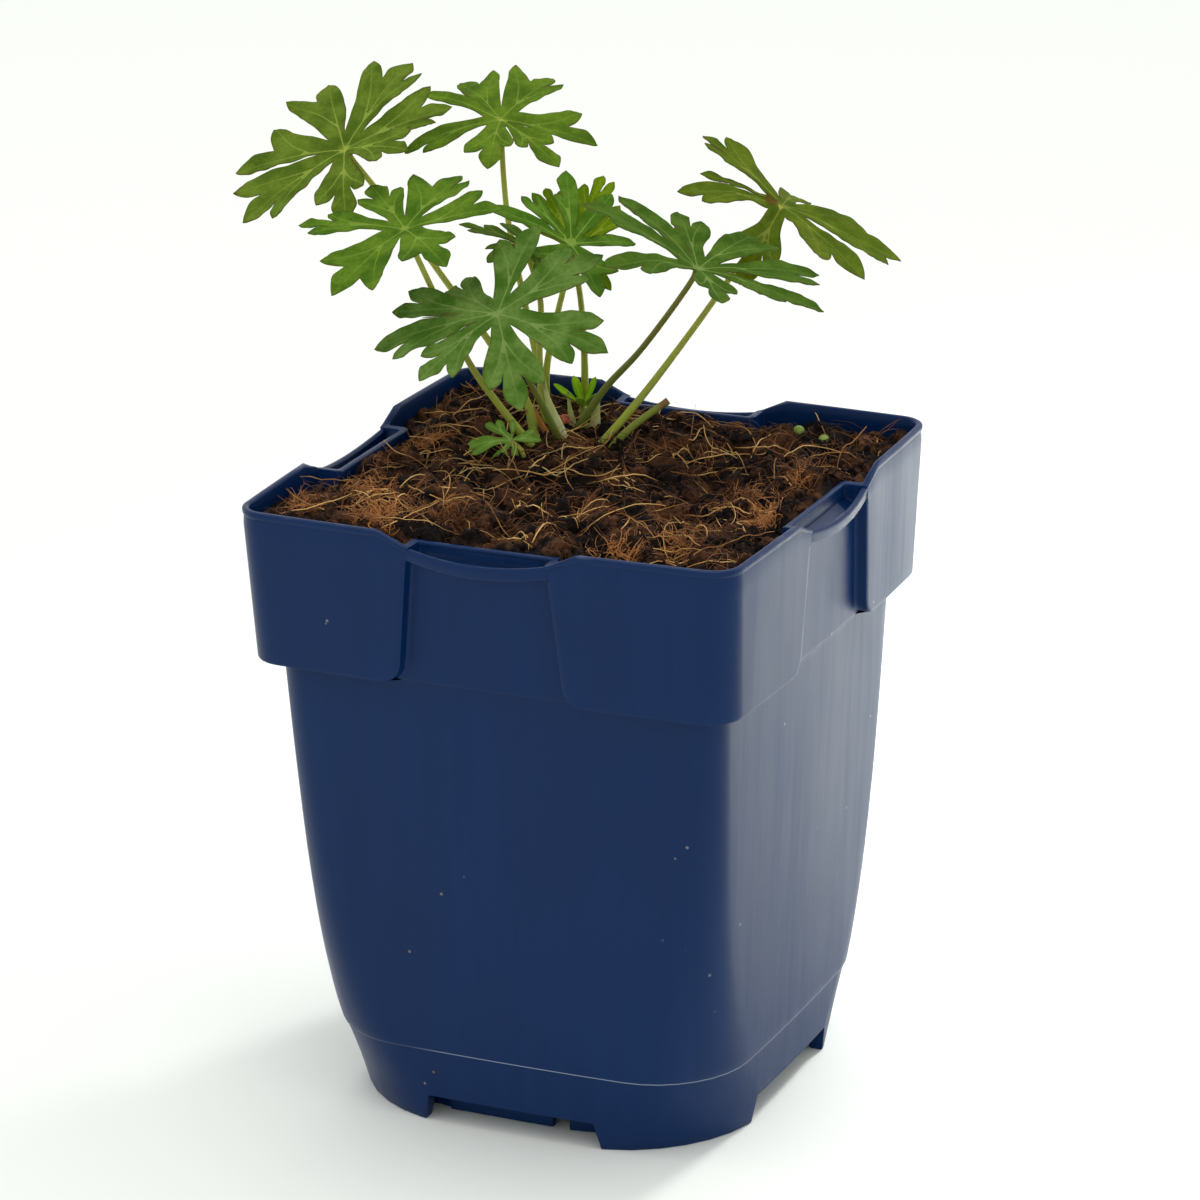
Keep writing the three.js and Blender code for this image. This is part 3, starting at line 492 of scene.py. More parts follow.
def makeLumps():
    state, lumps = soilShape["seed"], []
    for _ in range(soilShape["lumps"]):
        four = []
        for _ in range(4):
            state = (state * 1664525 + 1013904223) % 4294967296
            four.append(state / 4294967296)
        lumps.append((-42 + 84 * four[0], -42 + 84 * four[1], 3.5 + 5 * four[2], -1.3 + 3.2 * four[3]))
    return lumps


lumps = makeLumps()


def plainSoil(x, y):
    z = np.full(np.shape(x), soilShape["level"])
    for cx, cy, wide, deep, rise in soilShape["swells"]:
        z = z + rise * np.exp(-((x - cx) / wide) ** 2 - ((y - cy) / deep) ** 2)
    for cx, cy, radius, rise in lumps:
        near = np.clip(1 - ((x - cx) ** 2 + (y - cy) ** 2) / radius**2, 0, 1)
        z = z + rise * near**2
    return z


def clods(x, y):
    """"""
    value = 0.0
    for scale, rise in ((0.16, soilShape["clodRise"]), (0.42, soilShape["crumbRise"]), (1.1, soilShape["grainRise"])):
        point = Vector((x * scale, y * scale, 3.7 + scale))
        bend = noise.noise_vector(point * 0.7) * 0.8
        value += rise * (1 - 2.2 * abs(noise.noise(point + bend)))
    return value


def soilHeight(x, y):
    x, y = np.atleast_1d(np.asarray(x, float)), np.atleast_1d(np.asarray(y, float))
    crownX, crownY, radius = soilShape["crown"]
    near = np.exp(-((x - crownX) ** 2 + (y - crownY) ** 2) / radius**2)
    rough = np.array([clods(a, b) for a, b in zip(x.ravel(), y.ravel())]).reshape(x.shape)
    return plainSoil(x, y) + rough * (1 - 0.8 * near) - 0.25 - 0.9 * near


def outlineRadius(ring, angles):
    """"""
    turns = np.arctan2(ring[:, 1], ring[:, 0])
    order = np.argsort(turns)
    radii = np.hypot(ring[:, 0], ring[:, 1])[order]
    return np.interp(angles, turns[order], radii, period=2 * math.pi)


def wallReach(z, inset, turns):
    """"""
    wide = outlineRadius(collarRing(102.5, inset), turns)
    narrow = outlineRadius(collarRing(106.5, inset), turns)
    begins = potSize["slotFoot"] - inset
    return wide + (narrow - wide) * np.clip((z - begins) / potSize["slotRise"], 0, 1)


def buildSoil(material):
    cells, inset = soilShape["cells"], potSize["wall"] + soilShape["gap"]
    line = np.linspace(-1, 1, cells + 1)
    u, v = np.meshgrid(line, line, indexing="ij")
    m = np.maximum(np.maximum(abs(u), abs(v)), 1e-9)
    angles = np.arctan2(v, u)
    edge = wallReach(102.0, inset, angles.ravel())
    ground = soilHeight(edge * np.cos(angles.ravel()), edge * np.sin(angles.ravel()))
    edge = wallReach(ground + 0.4, inset, angles.ravel()).reshape(u.shape)
    square = 42.5 * np.hypot(u, v) / m
    radius = m * (square + (edge - square) * smooth(m, 0.55, 1.0))
    x, y = radius * np.cos(angles), radius * np.sin(angles)
    z = soilHeight(x, y)
    size = cells + 1
    top = np.stack([x.ravel(), y.ravel(), z.ravel()], 1)
    faces = [(i * size + j, (i + 1) * size + j, (i + 1) * size + j + 1, i * size + j + 1)
             for i in range(cells) for j in range(cells)]
    rim = [i * size for i in range(size)] + [cells * size + j for j in range(1, size)]
    rim += [i * size + cells for i in range(cells - 1, -1, -1)] + [j for j in range(cells - 1, 0, -1)]
    turns = np.arctan2(top[rim, 1], top[rim, 0])
    levels = [(collarRing, 98), (collarRing, 90), (collarRing, 84.6), (bodyRing, 84.4), (bodyRing, 62),
              (bodyRing, 42), (bodyRing, 26), (bodyRing, 16), (bodyRing, 10.5)]
    loops = [rim]
    points = [top]
    total = len(top)
    height = top[rim, 2]
    for level in (104.1, 102.7):
        height = np.minimum(level, height - 0.15)
        reach = wallReach(height + 0.1, inset, turns)
        points.append(np.stack([reach * np.cos(turns), reach * np.sin(turns), height], 1))
        loops.append(list(range(total, total + len(rim))))
        total += len(rim)
    for kind, level in levels + [(bodyRing, soilShape["bottom"])]:
        deep = inset + (2 if level < 8 else 0.1 if level < 11 else 0)
        reach = outlineRadius(kind(level, deep), turns)
        points.append(np.stack([reach * np.cos(turns), reach * np.sin(turns), np.full(len(rim), level)], 1))
        loops.append(list(range(total, total + len(rim))))
        total += len(rim)
    for above, below in zip(loops, loops[1:]):
        count = len(above)
        faces += [(above[k], below[k], below[(k + 1) % count], above[(k + 1) % count]) for k in range(count)]
    faces.append(tuple(loops[-1][::-1]))
    soil = makeMesh("potting_soil", np.concatenate(points), faces, material)
    form = bmesh.new()
    form.from_mesh(soil.data)
    bmesh.ops.recalc_face_normals(form, faces=form.faces)
    form.to_mesh(soil.data)
    form.free()
    print("soil:", len(soil.data.polygons), "faces")
    return finished(soil, "soil", "soil")


def soilMaterial(name, dark, brown, light, rough=0.95):
    material, tree, shader = newMaterial(name, rough, 0.15)
    place = objectPlace(tree)
    broad = noiseValue(tree, place, 120, 5, 0.65)
    fine = noiseValue(tree, place, 900, 4, 0.7)
    colour = mixColour(tree, remap(tree, broad, 0.46, 0.62), dark, brown)
    colour = mixColour(tree, remap(tree, fine, 0.58, 0.78, 0, 0.8), colour, light)
    tree.links.new(colour, shader.inputs["Base Color"])
    addBump(tree, shader, mathNode(tree, "ADD", fine, noiseValue(tree, place, 2600, 2)), 0.9, 0.0004)
    return material


soilDark = soilMaterial("dark_peat", srgb(18, 12, 11), srgb(84, 54, 34), srgb(128, 84, 52))
soilBrown = soilMaterial("brown_peat", srgb(58, 35, 22), srgb(120, 76, 44), srgb(164, 112, 66))
soilBed = buildSoil(soilDark)


# ---- crumbs and fibres on the soil ----

crumbKinds = [
    {"name": "soil_crumbs", "material": soilDark, "perSquareMetre": 560000.0, "smallest": 0.25, "largest": 1.3, "seed": 4},
    {"name": "soil_clods", "material": soilBrown, "perSquareMetre": 90000.0, "smallest": 0.3, "largest": 1.3, "seed": 9},
    {"name": "soil_lumps", "material": soilDark, "perSquareMetre": 52000.0, "smallest": 1.0, "largest": 2.6, "seed": 14},
]


def startTree(name, sizes):
    tree = bpy.data.node_groups.new(name, "GeometryNodeTree")
    tree.interface.new_socket("Geometry", in_out="INPUT", socket_type="NodeSocketGeometry")
    for label, value in sizes.items():
        kind = "NodeSocketInt" if isinstance(value, int) else "NodeSocketFloat"
        tree.interface.new_socket(label, in_out="INPUT", socket_type=kind).default_value = value
    tree.interface.new_socket("Geometry", in_out="OUTPUT", socket_type="NodeSocketGeometry")
    return tree, addNode(tree, "NodeGroupInput"), addNode(tree, "NodeGroupOutput")


def endTree(tree, source, material, output):
    real = addNode(tree, "GeometryNodeRealizeInstances", {"Geometry": source})
    painted = addNode(tree, "GeometryNodeSetMaterial", {"Geometry": real.outputs[0], "Material": material})
    tree.links.new(painted.outputs[0], output.inputs["Geometry"])


def growFrom(source, tree, sizes, name):
    """"""
    step = source.modifiers.new(name, "NODES")
    step.node_group = tree
    for item in tree.interface.items_tree:
        if item.item_type == "SOCKET" and item.in_out == "INPUT" and item.name in sizes:
            step[item.identifier] = sizes[item.name]
    mesh = bpy.data.meshes.new_from_object(source.evaluated_get(bpy.context.evaluated_depsgraph_get()))
    source.modifiers.remove(step)
    made = bpy.data.objects.new(name, mesh)
    bpy.context.scene.collection.objects.link(made)
    return made


def crumbTree(kind):
    sizes = {"Per square metre": kind["perSquareMetre"], "Smallest": kind["smallest"] * mm,
             "Largest": kind["largest"] * mm, "Roughness": 0.7 * mm, "Seed": kind["seed"]}
    tree, given, output = startTree(kind["name"], sizes)
    spots = addNode(tree, "GeometryNodeDistributePointsOnFaces",
                    {"Mesh": given.outputs["Geometry"], "Density": given.outputs["Per square metre"],
                     "Seed": given.outputs["Seed"]})
    size = addNode(tree, "FunctionNodeRandomValue", {"Min": 0.0, "Max": 1.0, "Seed": given.outputs["Seed"]},
                   data_type="FLOAT")
    spread = addNode(tree, "ShaderNodeMath", {0: size.outputs["Value"], 1: 2.5}, operation="POWER")
    scale = addNode(tree, "ShaderNodeMapRange", {"Value": spread.outputs[0], "To Min": given.outputs["Smallest"],
                                                 "To Max": given.outputs["Largest"]})
    squash = addNode(tree, "FunctionNodeRandomValue", {"Min": (0.55, 0.55, 0.4), "Max": (1.3, 1.1, 0.9),
                                                       "Seed": 3}, data_type="FLOAT_VECTOR")
    whole = addNode(tree, "ShaderNodeVectorMath", {0: squash.outputs["Value"], "Scale": scale.outputs[0]},
                    operation="SCALE")
    spin = addNode(tree, "FunctionNodeRandomValue", {"Min": (-3.1, -3.1, -3.1), "Max": (3.1, 3.1, 3.1), "Seed": 8},
                   data_type="FLOAT_VECTOR")
    grain = addNode(tree, "GeometryNodeMeshIcoSphere", {"Radius": 1.0, "Subdivisions": 1})
    placed = addNode(tree, "GeometryNodeInstanceOnPoints",
                     {"Points": spots.outputs["Points"], "Instance": grain.outputs["Mesh"],
                      "Rotation": spin.outputs["Value"], "Scale": whole.outputs[0]})
    real = addNode(tree, "GeometryNodeRealizeInstances", {"Geometry": placed.outputs[0]})
    where = addNode(tree, "GeometryNodeInputPosition")
    wobble = addNode(tree, "ShaderNodeTexNoise", {"Vector": where.outputs[0], "Scale": 900.0, "Detail": 1.0})
    centred = addNode(tree, "ShaderNodeVectorMath", {0: wobble.outputs["Color"], 1: (0.5, 0.5, 0.5)},
                      operation="SUBTRACT")
    shift = addNode(tree, "ShaderNodeVectorMath", {0: centred.outputs[0], "Scale": given.outputs["Roughness"]},
                    operation="SCALE")
    moved = addNode(tree, "GeometryNodeSetPosition", {"Geometry": real.outputs[0], "Offset": shift.outputs[0]})
    endTree(tree, moved.outputs[0], kind["material"], output)
    return tree, sizes


def insideSoil(x, y):
    return max(abs(x), abs(y)) < 42.0 and not (max(abs(x), abs(y)) > 38.6 and min(abs(x), abs(y)) < 15)


def soilTopPatch():
    """"""
    patch = bpy.data.objects.new("patch", soilBed.data.copy())
    bpy.context.scene.collection.objects.link(patch)
    form = bmesh.new()
    form.from_mesh(patch.data)
    low = (soilShape["level"] - 6) * mm
    gone = [f for f in form.faces if f.calc_center_median().z < low or abs(f.normal.z) < 0.15
            or not insideSoil(*(np.array(f.calc_center_median()[:2]) / mm - axis[:2]))]
    bmesh.ops.delete(form, geom=gone, context="FACES")
    form.to_mesh(patch.data)
    form.free()
    return patch


patch = soilTopPatch()
for kind in crumbKinds:
    tree, sizes = crumbTree(kind)
    made = growFrom(patch, tree, sizes, kind["name"])
    made.data.polygons.foreach_set("use_smooth", [False] * len(made.data.polygons))
    finished(made, "soil")
    print(kind["name"], len(made.data.polygons), "faces")
bpy.data.objects.remove(patch)

fibreKinds = [
    {"name": "coir_strands", "count": 240, "length": (4, 20), "thick": (0.06, 0.15), "curl": 0.07, "lift": 1.7, "seed": 21,
     "colour": (srgb(230, 186, 112), srgb(150, 102, 50)), "spots": None},
    {"name": "coir_fine", "count": 1500, "length": (2.5, 9), "thick": (0.035, 0.08), "curl": 0.16, "lift": 1.5, "seed": 33,
     "colour": (srgb(146, 96, 54), srgb(62, 38, 23)), "spots": None},
    {"name": "coir_tufts", "count": 1200, "length": (1.5, 5.5), "thick": (0.04, 0.1), "curl": 0.9, "lift": 1.5, "seed": 47,
     "colour": (srgb(182, 122, 66), srgb(98, 58, 32)),
     "spots": [(30, -29, 4), (22, -37, 3.5), (-31, -24, 5), (-37, -34, 3.5), (-22, -36, 4), (35, 12, 3.5), (-34, 6, 3.5),
               (-12, -30, 4), (28, 0, 4), (36, -10, 3.5)]},
    {"name": "pale_roots", "count": 20, "length": (7, 17), "thick": (0.08, 0.14), "curl": 0.12, "lift": 1.6, "seed": 58,
     "colour": (srgb(226, 196, 132), srgb(176, 138, 80)), "spots": [(-8, 2, 9), (4, 6, 8), (-18, -10, 9)]},
]


def fibrePaths(kind):
    """"""
    chance = random.Random(kind["seed"])
    paths, widths = [], []
    while len(paths) < kind["count"]:
        if kind["spots"]:
            cx, cy, radius = chance.choice(kind["spots"])
            x, y = chance.gauss(cx, radius * 0.5), chance.gauss(cy, radius * 0.5)
        else:
            x, y = chance.uniform(-41, 41), chance.uniform(-41, 41)
        length = chance.uniform(*kind["length"])
        steps = max(6, int(length / 1.1))
        heading, bend = chance.uniform(0, 2 * math.pi), chance.gauss(0, kind["curl"])
        line = []
        for i in range(steps + 1):
            if not insideSoil(x, y):
                break
            line.append((x, y))
            bend += chance.gauss(0, kind["curl"] * 0.45)
            bend *= 0.92
            heading += bend * length / steps
            x += math.cos(heading) * length / steps
            y += math.sin(heading) * length / steps
        if len(line) < 6:
            continue
        line = np.array(line)
        part = np.linspace(0, 1, len(line))
        ground = soilHeight(line[:, 0], line[:, 1])
        ground = np.convolve(np.pad(ground, 2, mode="edge"), np.ones(5) / 5, mode="valid")
        arch = kind["lift"] * chance.random() * np.sin(math.pi * part) ** 0.8
        tail = kind["lift"] * chance.choice([0, 0, 0.6, 1.8]) * part**2
        paths.append(np.column_stack([line, ground + 0.35 + arch + tail - 0.7 * (1 - smooth(part, 0, 0.25))]))
        widths.append(chance.uniform(*kind["thick"]))
    return paths, widths


def strandTree(name, material, sides):
    sizes = {"Sides": sides}
    tree, given, output = startTree(name, sizes)
    curve = addNode(tree, "GeometryNodeMeshToCurve", {"Mesh": given.outputs["Geometry"]})
    thick = addNode(tree, "GeometryNodeInputNamedAttribute", {"Name": "thick"}, data_type="FLOAT")
    ring = addNode(tree, "GeometryNodeCurvePrimitiveCircle", {"Resolution": given.outputs["Sides"], "Radius": 1.0})
    solid = addNode(tree, "GeometryNodeCurveToMesh", {"Curve": curve.outputs[0], "Profile Curve": ring.outputs[0],
                                                      "Scale": thick.outputs[0], "Fill Caps": True})
    endTree(tree, solid.outputs[0], material, output)
    return tree, sizes


def strands(name, paths, widths, material, sides, slotName):
    """"""
    points, edges, thick = [], [], []
    for path, width in zip(paths, widths):
        base = len(points)
        points += list(path)
        edges += [(base + i, base + i + 1) for i in range(len(path) - 1)]
        ends = np.sin(math.pi * np.linspace(0.06, 0.97, len(path))) ** 0.35
        thick += list(width * ends * mm)
    mesh = bpy.data.meshes.new(name + "_paths")
    mesh.from_pydata(((np.array(points) + axis) * mm).tolist(), edges, [])
    source = bpy.data.objects.new(name + "_paths", mesh)
    bpy.context.scene.collection.objects.link(source)
    addAttribute(source, "thick", thick)
    tree, sizes = strandTree(name, material, sides)
    made = growFrom(source, tree, sizes, name)
    made.data.polygons.foreach_set("use_smooth", [True] * len(made.data.polygons))
    bpy.data.objects.remove(source)
    print(name, len(made.data.polygons), "faces")
    return finished(made, slotName)


def strandMaterial(name, light, dark):
    material, tree, shader = newMaterial(name, 0.7, 0.3)
    place = objectPlace(tree)
    colour = mixColour(tree, remap(tree, noiseValue(tree, place, 95, 3), 0.38, 0.62), light, dark)
    tree.links.new(colour, shader.inputs["Base Color"])
    addBump(tree, shader, noiseValue(tree, place, 3500, 2), 0.5, 0.0001)
    return material


for kind in fibreKinds:
    paths, widths = fibrePaths(kind)
    strands(kind["name"], paths, widths, strandMaterial(kind["name"], *kind["colour"]),
            5 if kind["thick"][1] > 0.2 else 3, "soil")


# ---- leaves ----

leafShape = {
    "fold": 10.0, "soften": 0.7, "droop": 22.0, "branch": 0.42, "mainWidth": 0.25, "sideWidth": 0.21,
    "plainSide": 0.84, "flankReach": 0.44, "flankTurn": 4, "toothCleft": 0.6, "cleft": 3.8,
    "openCleft": 1.4, "openGap": 58, "margin": 0.25, "thickness": 0.3, "spacing": 0.62, "edgeStep": 0.42,
    "veinDepth": 0.09, "veinletDepth": 0.045, "puff": 0.1, "wave": 0.35,
}
stalkShape = {"foot": 0.72, "middle": 0.56, "top": 0.5, "sides": 10, "rootDepth": 5.5}

# a lobe is (aim, reach, rise, teeth, cleft), a tooth (turn from the aim, reach)
leaves = [
    {"node": "leaf_top_left", "hub": (-56.8, 23.4, 154.1), "tilt": 28, "lean": -102, "seed": 1,
     "stalk": [(-17.6, 17, 107), (-20.2, 18.8, 113), (-38.9, 21.7, 135.2), (-51.2, 23, 148.3)],
     "lobes": [(31, 20.5, 13, [(-13, 17.5), (20, 19)]), (72, 21.5, 19, [(-14, 19.5), (19, 19.5)]),
               (121, 21, 10, [(25, 19)]), (192, 21.5, 7, [(-27, 16)]), (233, 22.5, 7, [(-19, 21), (17, 19.5)]),
               (292, 19.5, 7, [(-19, 15.5), (17, 13)]), (343, 17.5, 26, [(-19, 15.5), (15, 16)])]},
    {"node": "leaf_top_middle", "hub": (-37.4, 46.8, 155.8), "tilt": 21, "lean": -75, "seed": 2,
     "stalk": [(-18, 24.5, 107), (-22.9, 29.1, 117.7), (-32.3, 38.5, 139.1), (-34.7, 41.9, 146.1)],
     "lobes": [(3, 18.5, 3, [(23, 14.5)]), (82, 18, 3, [(-15, 15.5), (24, 18)]), (138, 19, 1, [(-20, 18)]),
               (174, 16, 15, []), (223, 18.5, 6, [(11, 16)]), (287, 18, 17, [(-18, 15), (16, 12)]),
               (328, 18.5, 10, [(-13, 11), (11, 13.5)])]},
    {"node": "leaf_middle_left", "hub": (-36, 4.4, 146.6), "tilt": 19, "lean": -94, "seed": 3,
     "stalk": [(-15.2, 11.2, 107), (-20.8, 9, 115.1), (-25.3, 7.3, 122.3), (-34, 4.8, 141.7)],
     "lobes": [(25, 17.5, 13, [(20, 15)]), (84, 19.5, 7, [(-12, 17), (25, 16.5)]),
               (134, 18, 8, [(-17, 13.5), (18, 13.5)]), (187, 19.5, 12, [(-10, 15), (11, 17)]),
               (251, 19.5, 5, [(-24, 16), (25, 18)]), (318, 18.5, 16, [(-24, 15), (22, 13)])]},
    {"node": "leaf_centre", "hub": (-13.6, 23.9, 141), "tilt": 28, "lean": -34, "seed": 4,
     "stalk": [(-15.5, 32, 107), (-14.6, 31, 115), (-13.6, 27.6, 129.8)],
     "lobes": [(58, 15, -1, []), (91, 16.5, 14, []), (123, 16.5, 22, [(15, 10.5)]), (153, 15, 8, [(-9, 14)]),
               (184, 16.5, 11, []), (269, 14.5, 18, [(-20, 11)]), (316, 15, 16, [(28, 11)])]},
    {"node": "leaf_centre_back", "hub": (-18.8, 36.2, 136.9), "tilt": 36, "lean": -73, "seed": 5,
     "stalk": [(-21.6, 30, 106.2), (-21.9, 30.6, 114.8), (-21.2, 32, 121.5), (-19.8, 34.2, 130)],
     "lobes": [(57, 12.5, 5, [(14, 12.5)]), (92, 16, 15, [(-10, 15), (11, 13)]), (132, 15, 10, [(-9, 13), (11, 14.5)]),
               (162, 13, 7, []), (205, 11, 0, []), (330, 11, 0, [])]},
    {"node": "leaf_right_centre", "hub": (12.3, 19.1, 140.5), "tilt": 19, "lean": 6, "wide": 1.15, "seed": 6,
     "stalk": [(-13.6, 24.8, 107), (-7.7, 24.2, 115.5), (-0.4, 22.9, 123.5), (10.4, 19.6, 137.4)],
     "lobes": [(10, 23, 14, [(-22, 18)]), (45, 23, 16, [(-20, 21)]), (86, 20.5, 18, [(-19, 19)]),
               (126, 20.5, 14, [(-12, 17)]), (161, 21.5, 20, []), (197, 23, 21, [(14, 18)]),
               (239, 21, 12, [(20, 16.5)]), (307, 17, 16, [(-16, 13), (16, 13)])]},
    {"node": "leaf_front", "hub": (-16.4, -0.6, 134.9), "tilt": 30, "lean": -96, "seed": 7,
     "stalk": [(-13.2, 17.2, 107), (-14.2, 12.8, 114.4), (-15.4, 8, 122)],
     "lobes": [(47, 21, 11, [(-19, 17), (16, 18)]), (90, 21, 12, [(18, 16.5)]), (147, 20, -6, [(-12, 18)]),
               (181, 20.5, 9, [(-12, 18.5)], 13), (204, 22.5, 9, [(17, 19.5)]), (244, 19, 12, [(-12, 15.5), (21, 17)]),
               (299, 21.5, 1, [(-15, 17), (16, 19)]), (349, 22, 1, [(-17, 19), (16, 19)])]},
    {"node": "leaf_right", "hub": (16.1, 48, 144.8), "tilt": 26, "lean": -14, "wide": 1.15, "seed": 8,
     "stalk": [(-6.3, 18.8, 107), (-1.3, 24.8, 114.2), (4.6, 32.2, 124), (9.6, 39, 133)],
     "lobes": [(13, 23, 8, [(-12, 21.5)]), (46, 21, -2, []), (100, 18.5, -12, [(-12, 15)]),
               (170, 19.5, 18, [(-11, 17), (11, 17.5)]), (193, 15.5, 8, []), (216, 19.5, 7, [(15, 16.5)]),
               (278, 18, -20, [(-17, 14), (16, 13)]), (339, 22, 10, [(-24, 18.5)])]},
    {"node": "leaf_behind_front", "hub": (-22.5, 24.3, 139.8), "tilt": 15, "lean": 0, "seed": 9,
     "stalk": [(-15.6, 20, 107), (-17.2, 19.2, 111.8), (-18.5, 20.6, 120.8), (-19.2, 22.8, 131)],
     "lobes": [(133, 13, 4, []), (182, 13, 9, [(-11, 9), (22, 10.5)]), (232, 8, 7, []), (266, 14, 12, [(10, 12)]),
               (320, 9, 0, [])]},
    {"node": "leaf_low", "hub": (-17, 5.2, 110.6), "tilt": 38, "lean": -70, "droop": 45, "thin": 0.8, "wide": 1.35, "seed": 10,
     "stalk": [(-14.6, 5.2, 107), (-15.2, 5.2, 109)],
     "lobes": [(15, 5.5, 30, [(25, 4.5)]), (105, 3.8, 60, []), (160, 6.5, 15, [(-18, 5)]),
               (200, 9, 4, [(17, 7.5)]), (245, 6, -8, [(20, 4.5)]), (305, 4.5, 0, [])]},
    {"node": "leaf_unfolding", "hub": (-13.6, 28, 110.6), "tilt": 12, "lean": -80, "droop": -8, "thin": 0.75, "wide": 1.4, "seed": 11,
     "stalk": [(-13.2, 28.2, 106.4), (-13.5, 28, 108.6)],
     "lobes": [(12, 6.6, 38, []), (58, 5.6, 54, []), (142, 5.6, 54, []), (192, 6.6, 36, []),
               (238, 5.6, 42, []), (285, 5.4, 42, []), (330, 5.6, 42, [])]},
]


def leafLobes(leaf):
    lobes = []
    for aim, reach, rise, teeth, *cut in leaf["lobes"]:
        lobes.append({
            "aim": math.radians(aim), "reach": reach, "rise": rise, "cut": cut[0] if cut else None,
            "droop": leaf.get("droop", leafShape["droop"]), "wide": leaf.get("wide", 1),
            "left": next((t for t in teeth if t[0] > 0), None), "right": next((t for t in teeth if t[0] < 0), None),
        })
    for i, lobe in enumerate(lobes):
        after = lobes[(i + 1) % len(lobes)]
        gap = (after["aim"] - lobe["aim"]) % (2 * math.pi)
        leftTurn = math.radians(lobe["left"][0]) if lobe["left"] else 0
        rightTurn = math.radians(after["right"][0]) if after["right"] else 0
        border = (leftTurn + gap + rightTurn) / 2
        limit = leafShape["openGap"] + (12 if leftTurn else 0) + (12 if rightTurn else 0)
        cut = lobe["cut"] or (leafShape["openCleft"] if gap > math.radians(limit) else leafShape["cleft"])
        cut *= max(min(lobe["reach"], after["reach"]) / 20, 0.3)
        lobe["leftCleft"], after["rightCleft"] = (border, cut), (gap - border, cut)
    return lobes


def lobePlace(lobe, along, across):
    bend = math.radians(lobe["droop"]) / lobe["reach"]
    start = math.radians(lobe["rise"])
    end = start - bend * along
    level, height = (math.sin(start) - np.sin(end)) / bend, (np.cos(end) - math.cos(start)) / bend
    ahead = np.array([math.cos(lobe["aim"]), math.sin(lobe["aim"]), 0])
    left = np.array([-math.sin(lobe["aim"]), math.cos(lobe["aim"]), 0])
    fold = math.radians(leafShape["fold"])
    soft = leafShape["soften"]
    lift = (np.sqrt(across**2 + soft**2) - soft) * math.sin(fold)
    made = np.outer(level - np.sin(end) * lift, ahead) + np.outer(height + np.cos(end) * lift, up)
    return made + np.outer(across * math.cos(fold), left)


def polar(point, low, high, origin=(0, 0)):
    """"""
    x, y = point[0] - origin[0], point[1] - origin[1]
    out = math.hypot(x, y)
    spare = leafShape["margin"] / max(out, 0.3)
    angle = min(max(math.atan2(y, x), low + spare), high - spare)
    return np.array([origin[0] + out * math.cos(angle), origin[1] + out * math.sin(angle)])


def lobeEdge(lobe, side, chance):
    """"""
    reach, tooth = lobe["reach"], lobe[side]
    border, cut = lobe[side + "Cleft"]
    branch, main = leafShape["branch"] * reach, leafShape["mainWidth"] * lobe["wide"] * reach / 2
    rest, step = reach - branch, leafShape["edgeStep"] * (0.45 if reach < 8 else 1)
    cleft = np.array([cut * math.cos(border), cut * math.sin(border)])
    tip = np.array([reach, 0.0])
    if not tooth:
        main *= leafShape["plainSide"]
    crown = [(branch + 0.81 * rest, 0.72 * main), (branch + 0.93 * rest, 0.33 * main)]
    if not tooth:
        keys = [(0.3 * reach, 0.72 * main), (branch, 0.92 * main), (0.68 * reach, 1.03 * main), *crown]
        keys = [polar(k, -math.pi, border) for k in keys]
        return splinePoints([cleft, *keys, tip], step)
    turn, toothReach = abs(math.radians(tooth[0])), tooth[1]
    end = np.array([toothReach * math.cos(turn), toothReach * math.sin(turn)])
    start = np.array([branch, 0.0])
    length = np.linalg.norm(end - start)
    along = (end - start) / length
    across = np.array([-along[1], along[0]])
    wide = leafShape["sideWidth"] * lobe["wide"] * reach / 2
    half = math.atan2(along[1], along[0]) / 2
    beside = lambda part, out: start + part * length * along + out * wide * across
    deep = leafShape["toothCleft"] * min(length, rest)
    notch = start + deep * np.array([math.cos(half), math.sin(half)])
    flank = turn + math.radians(leafShape["flankTurn"])
    shoulder = leafShape["flankReach"] * toothReach * np.array([math.cos(flank), math.sin(flank)])
    outer = [shoulder, beside(0.56, 1.03), beside(0.8, 0.74), beside(0.93, 0.33)]
    inner = [beside(0.93, -0.33), beside(0.81, -0.68)]
    mainSide = [(branch + 0.7 * rest, 0.98 * main), *crown]
    outer = [polar(k, -math.pi, border) for k in outer]
    inner = [polar(k, half, math.pi, start) for k in inner]
    mainSide = [polar(k, 0, half, start) for k in mainSide]
    runs = [[cleft, *outer, end], [end, *inner, notch], [notch, *mainSide, tip]]
    made = [splinePoints(run, step) for run in runs]
    return np.concatenate([made[0][:-1], made[1][:-1], made[2]])


def leafOutline(lobes, chance):
    """"""
    chain = []
    for lobe in lobes:
        c, s = math.cos(lobe["aim"]), math.sin(lobe["aim"])
        right, left = lobeEdge(lobe, "right", chance), lobeEdge(lobe, "left", chance)
        whole = np.concatenate([right * (1, -1), left[-2:0:-1]])
        chain.append(np.stack([whole[:, 0] * c - whole[:, 1] * s, whole[:, 0] * s + whole[:, 1] * c], 1))
    return np.concatenate(chain)


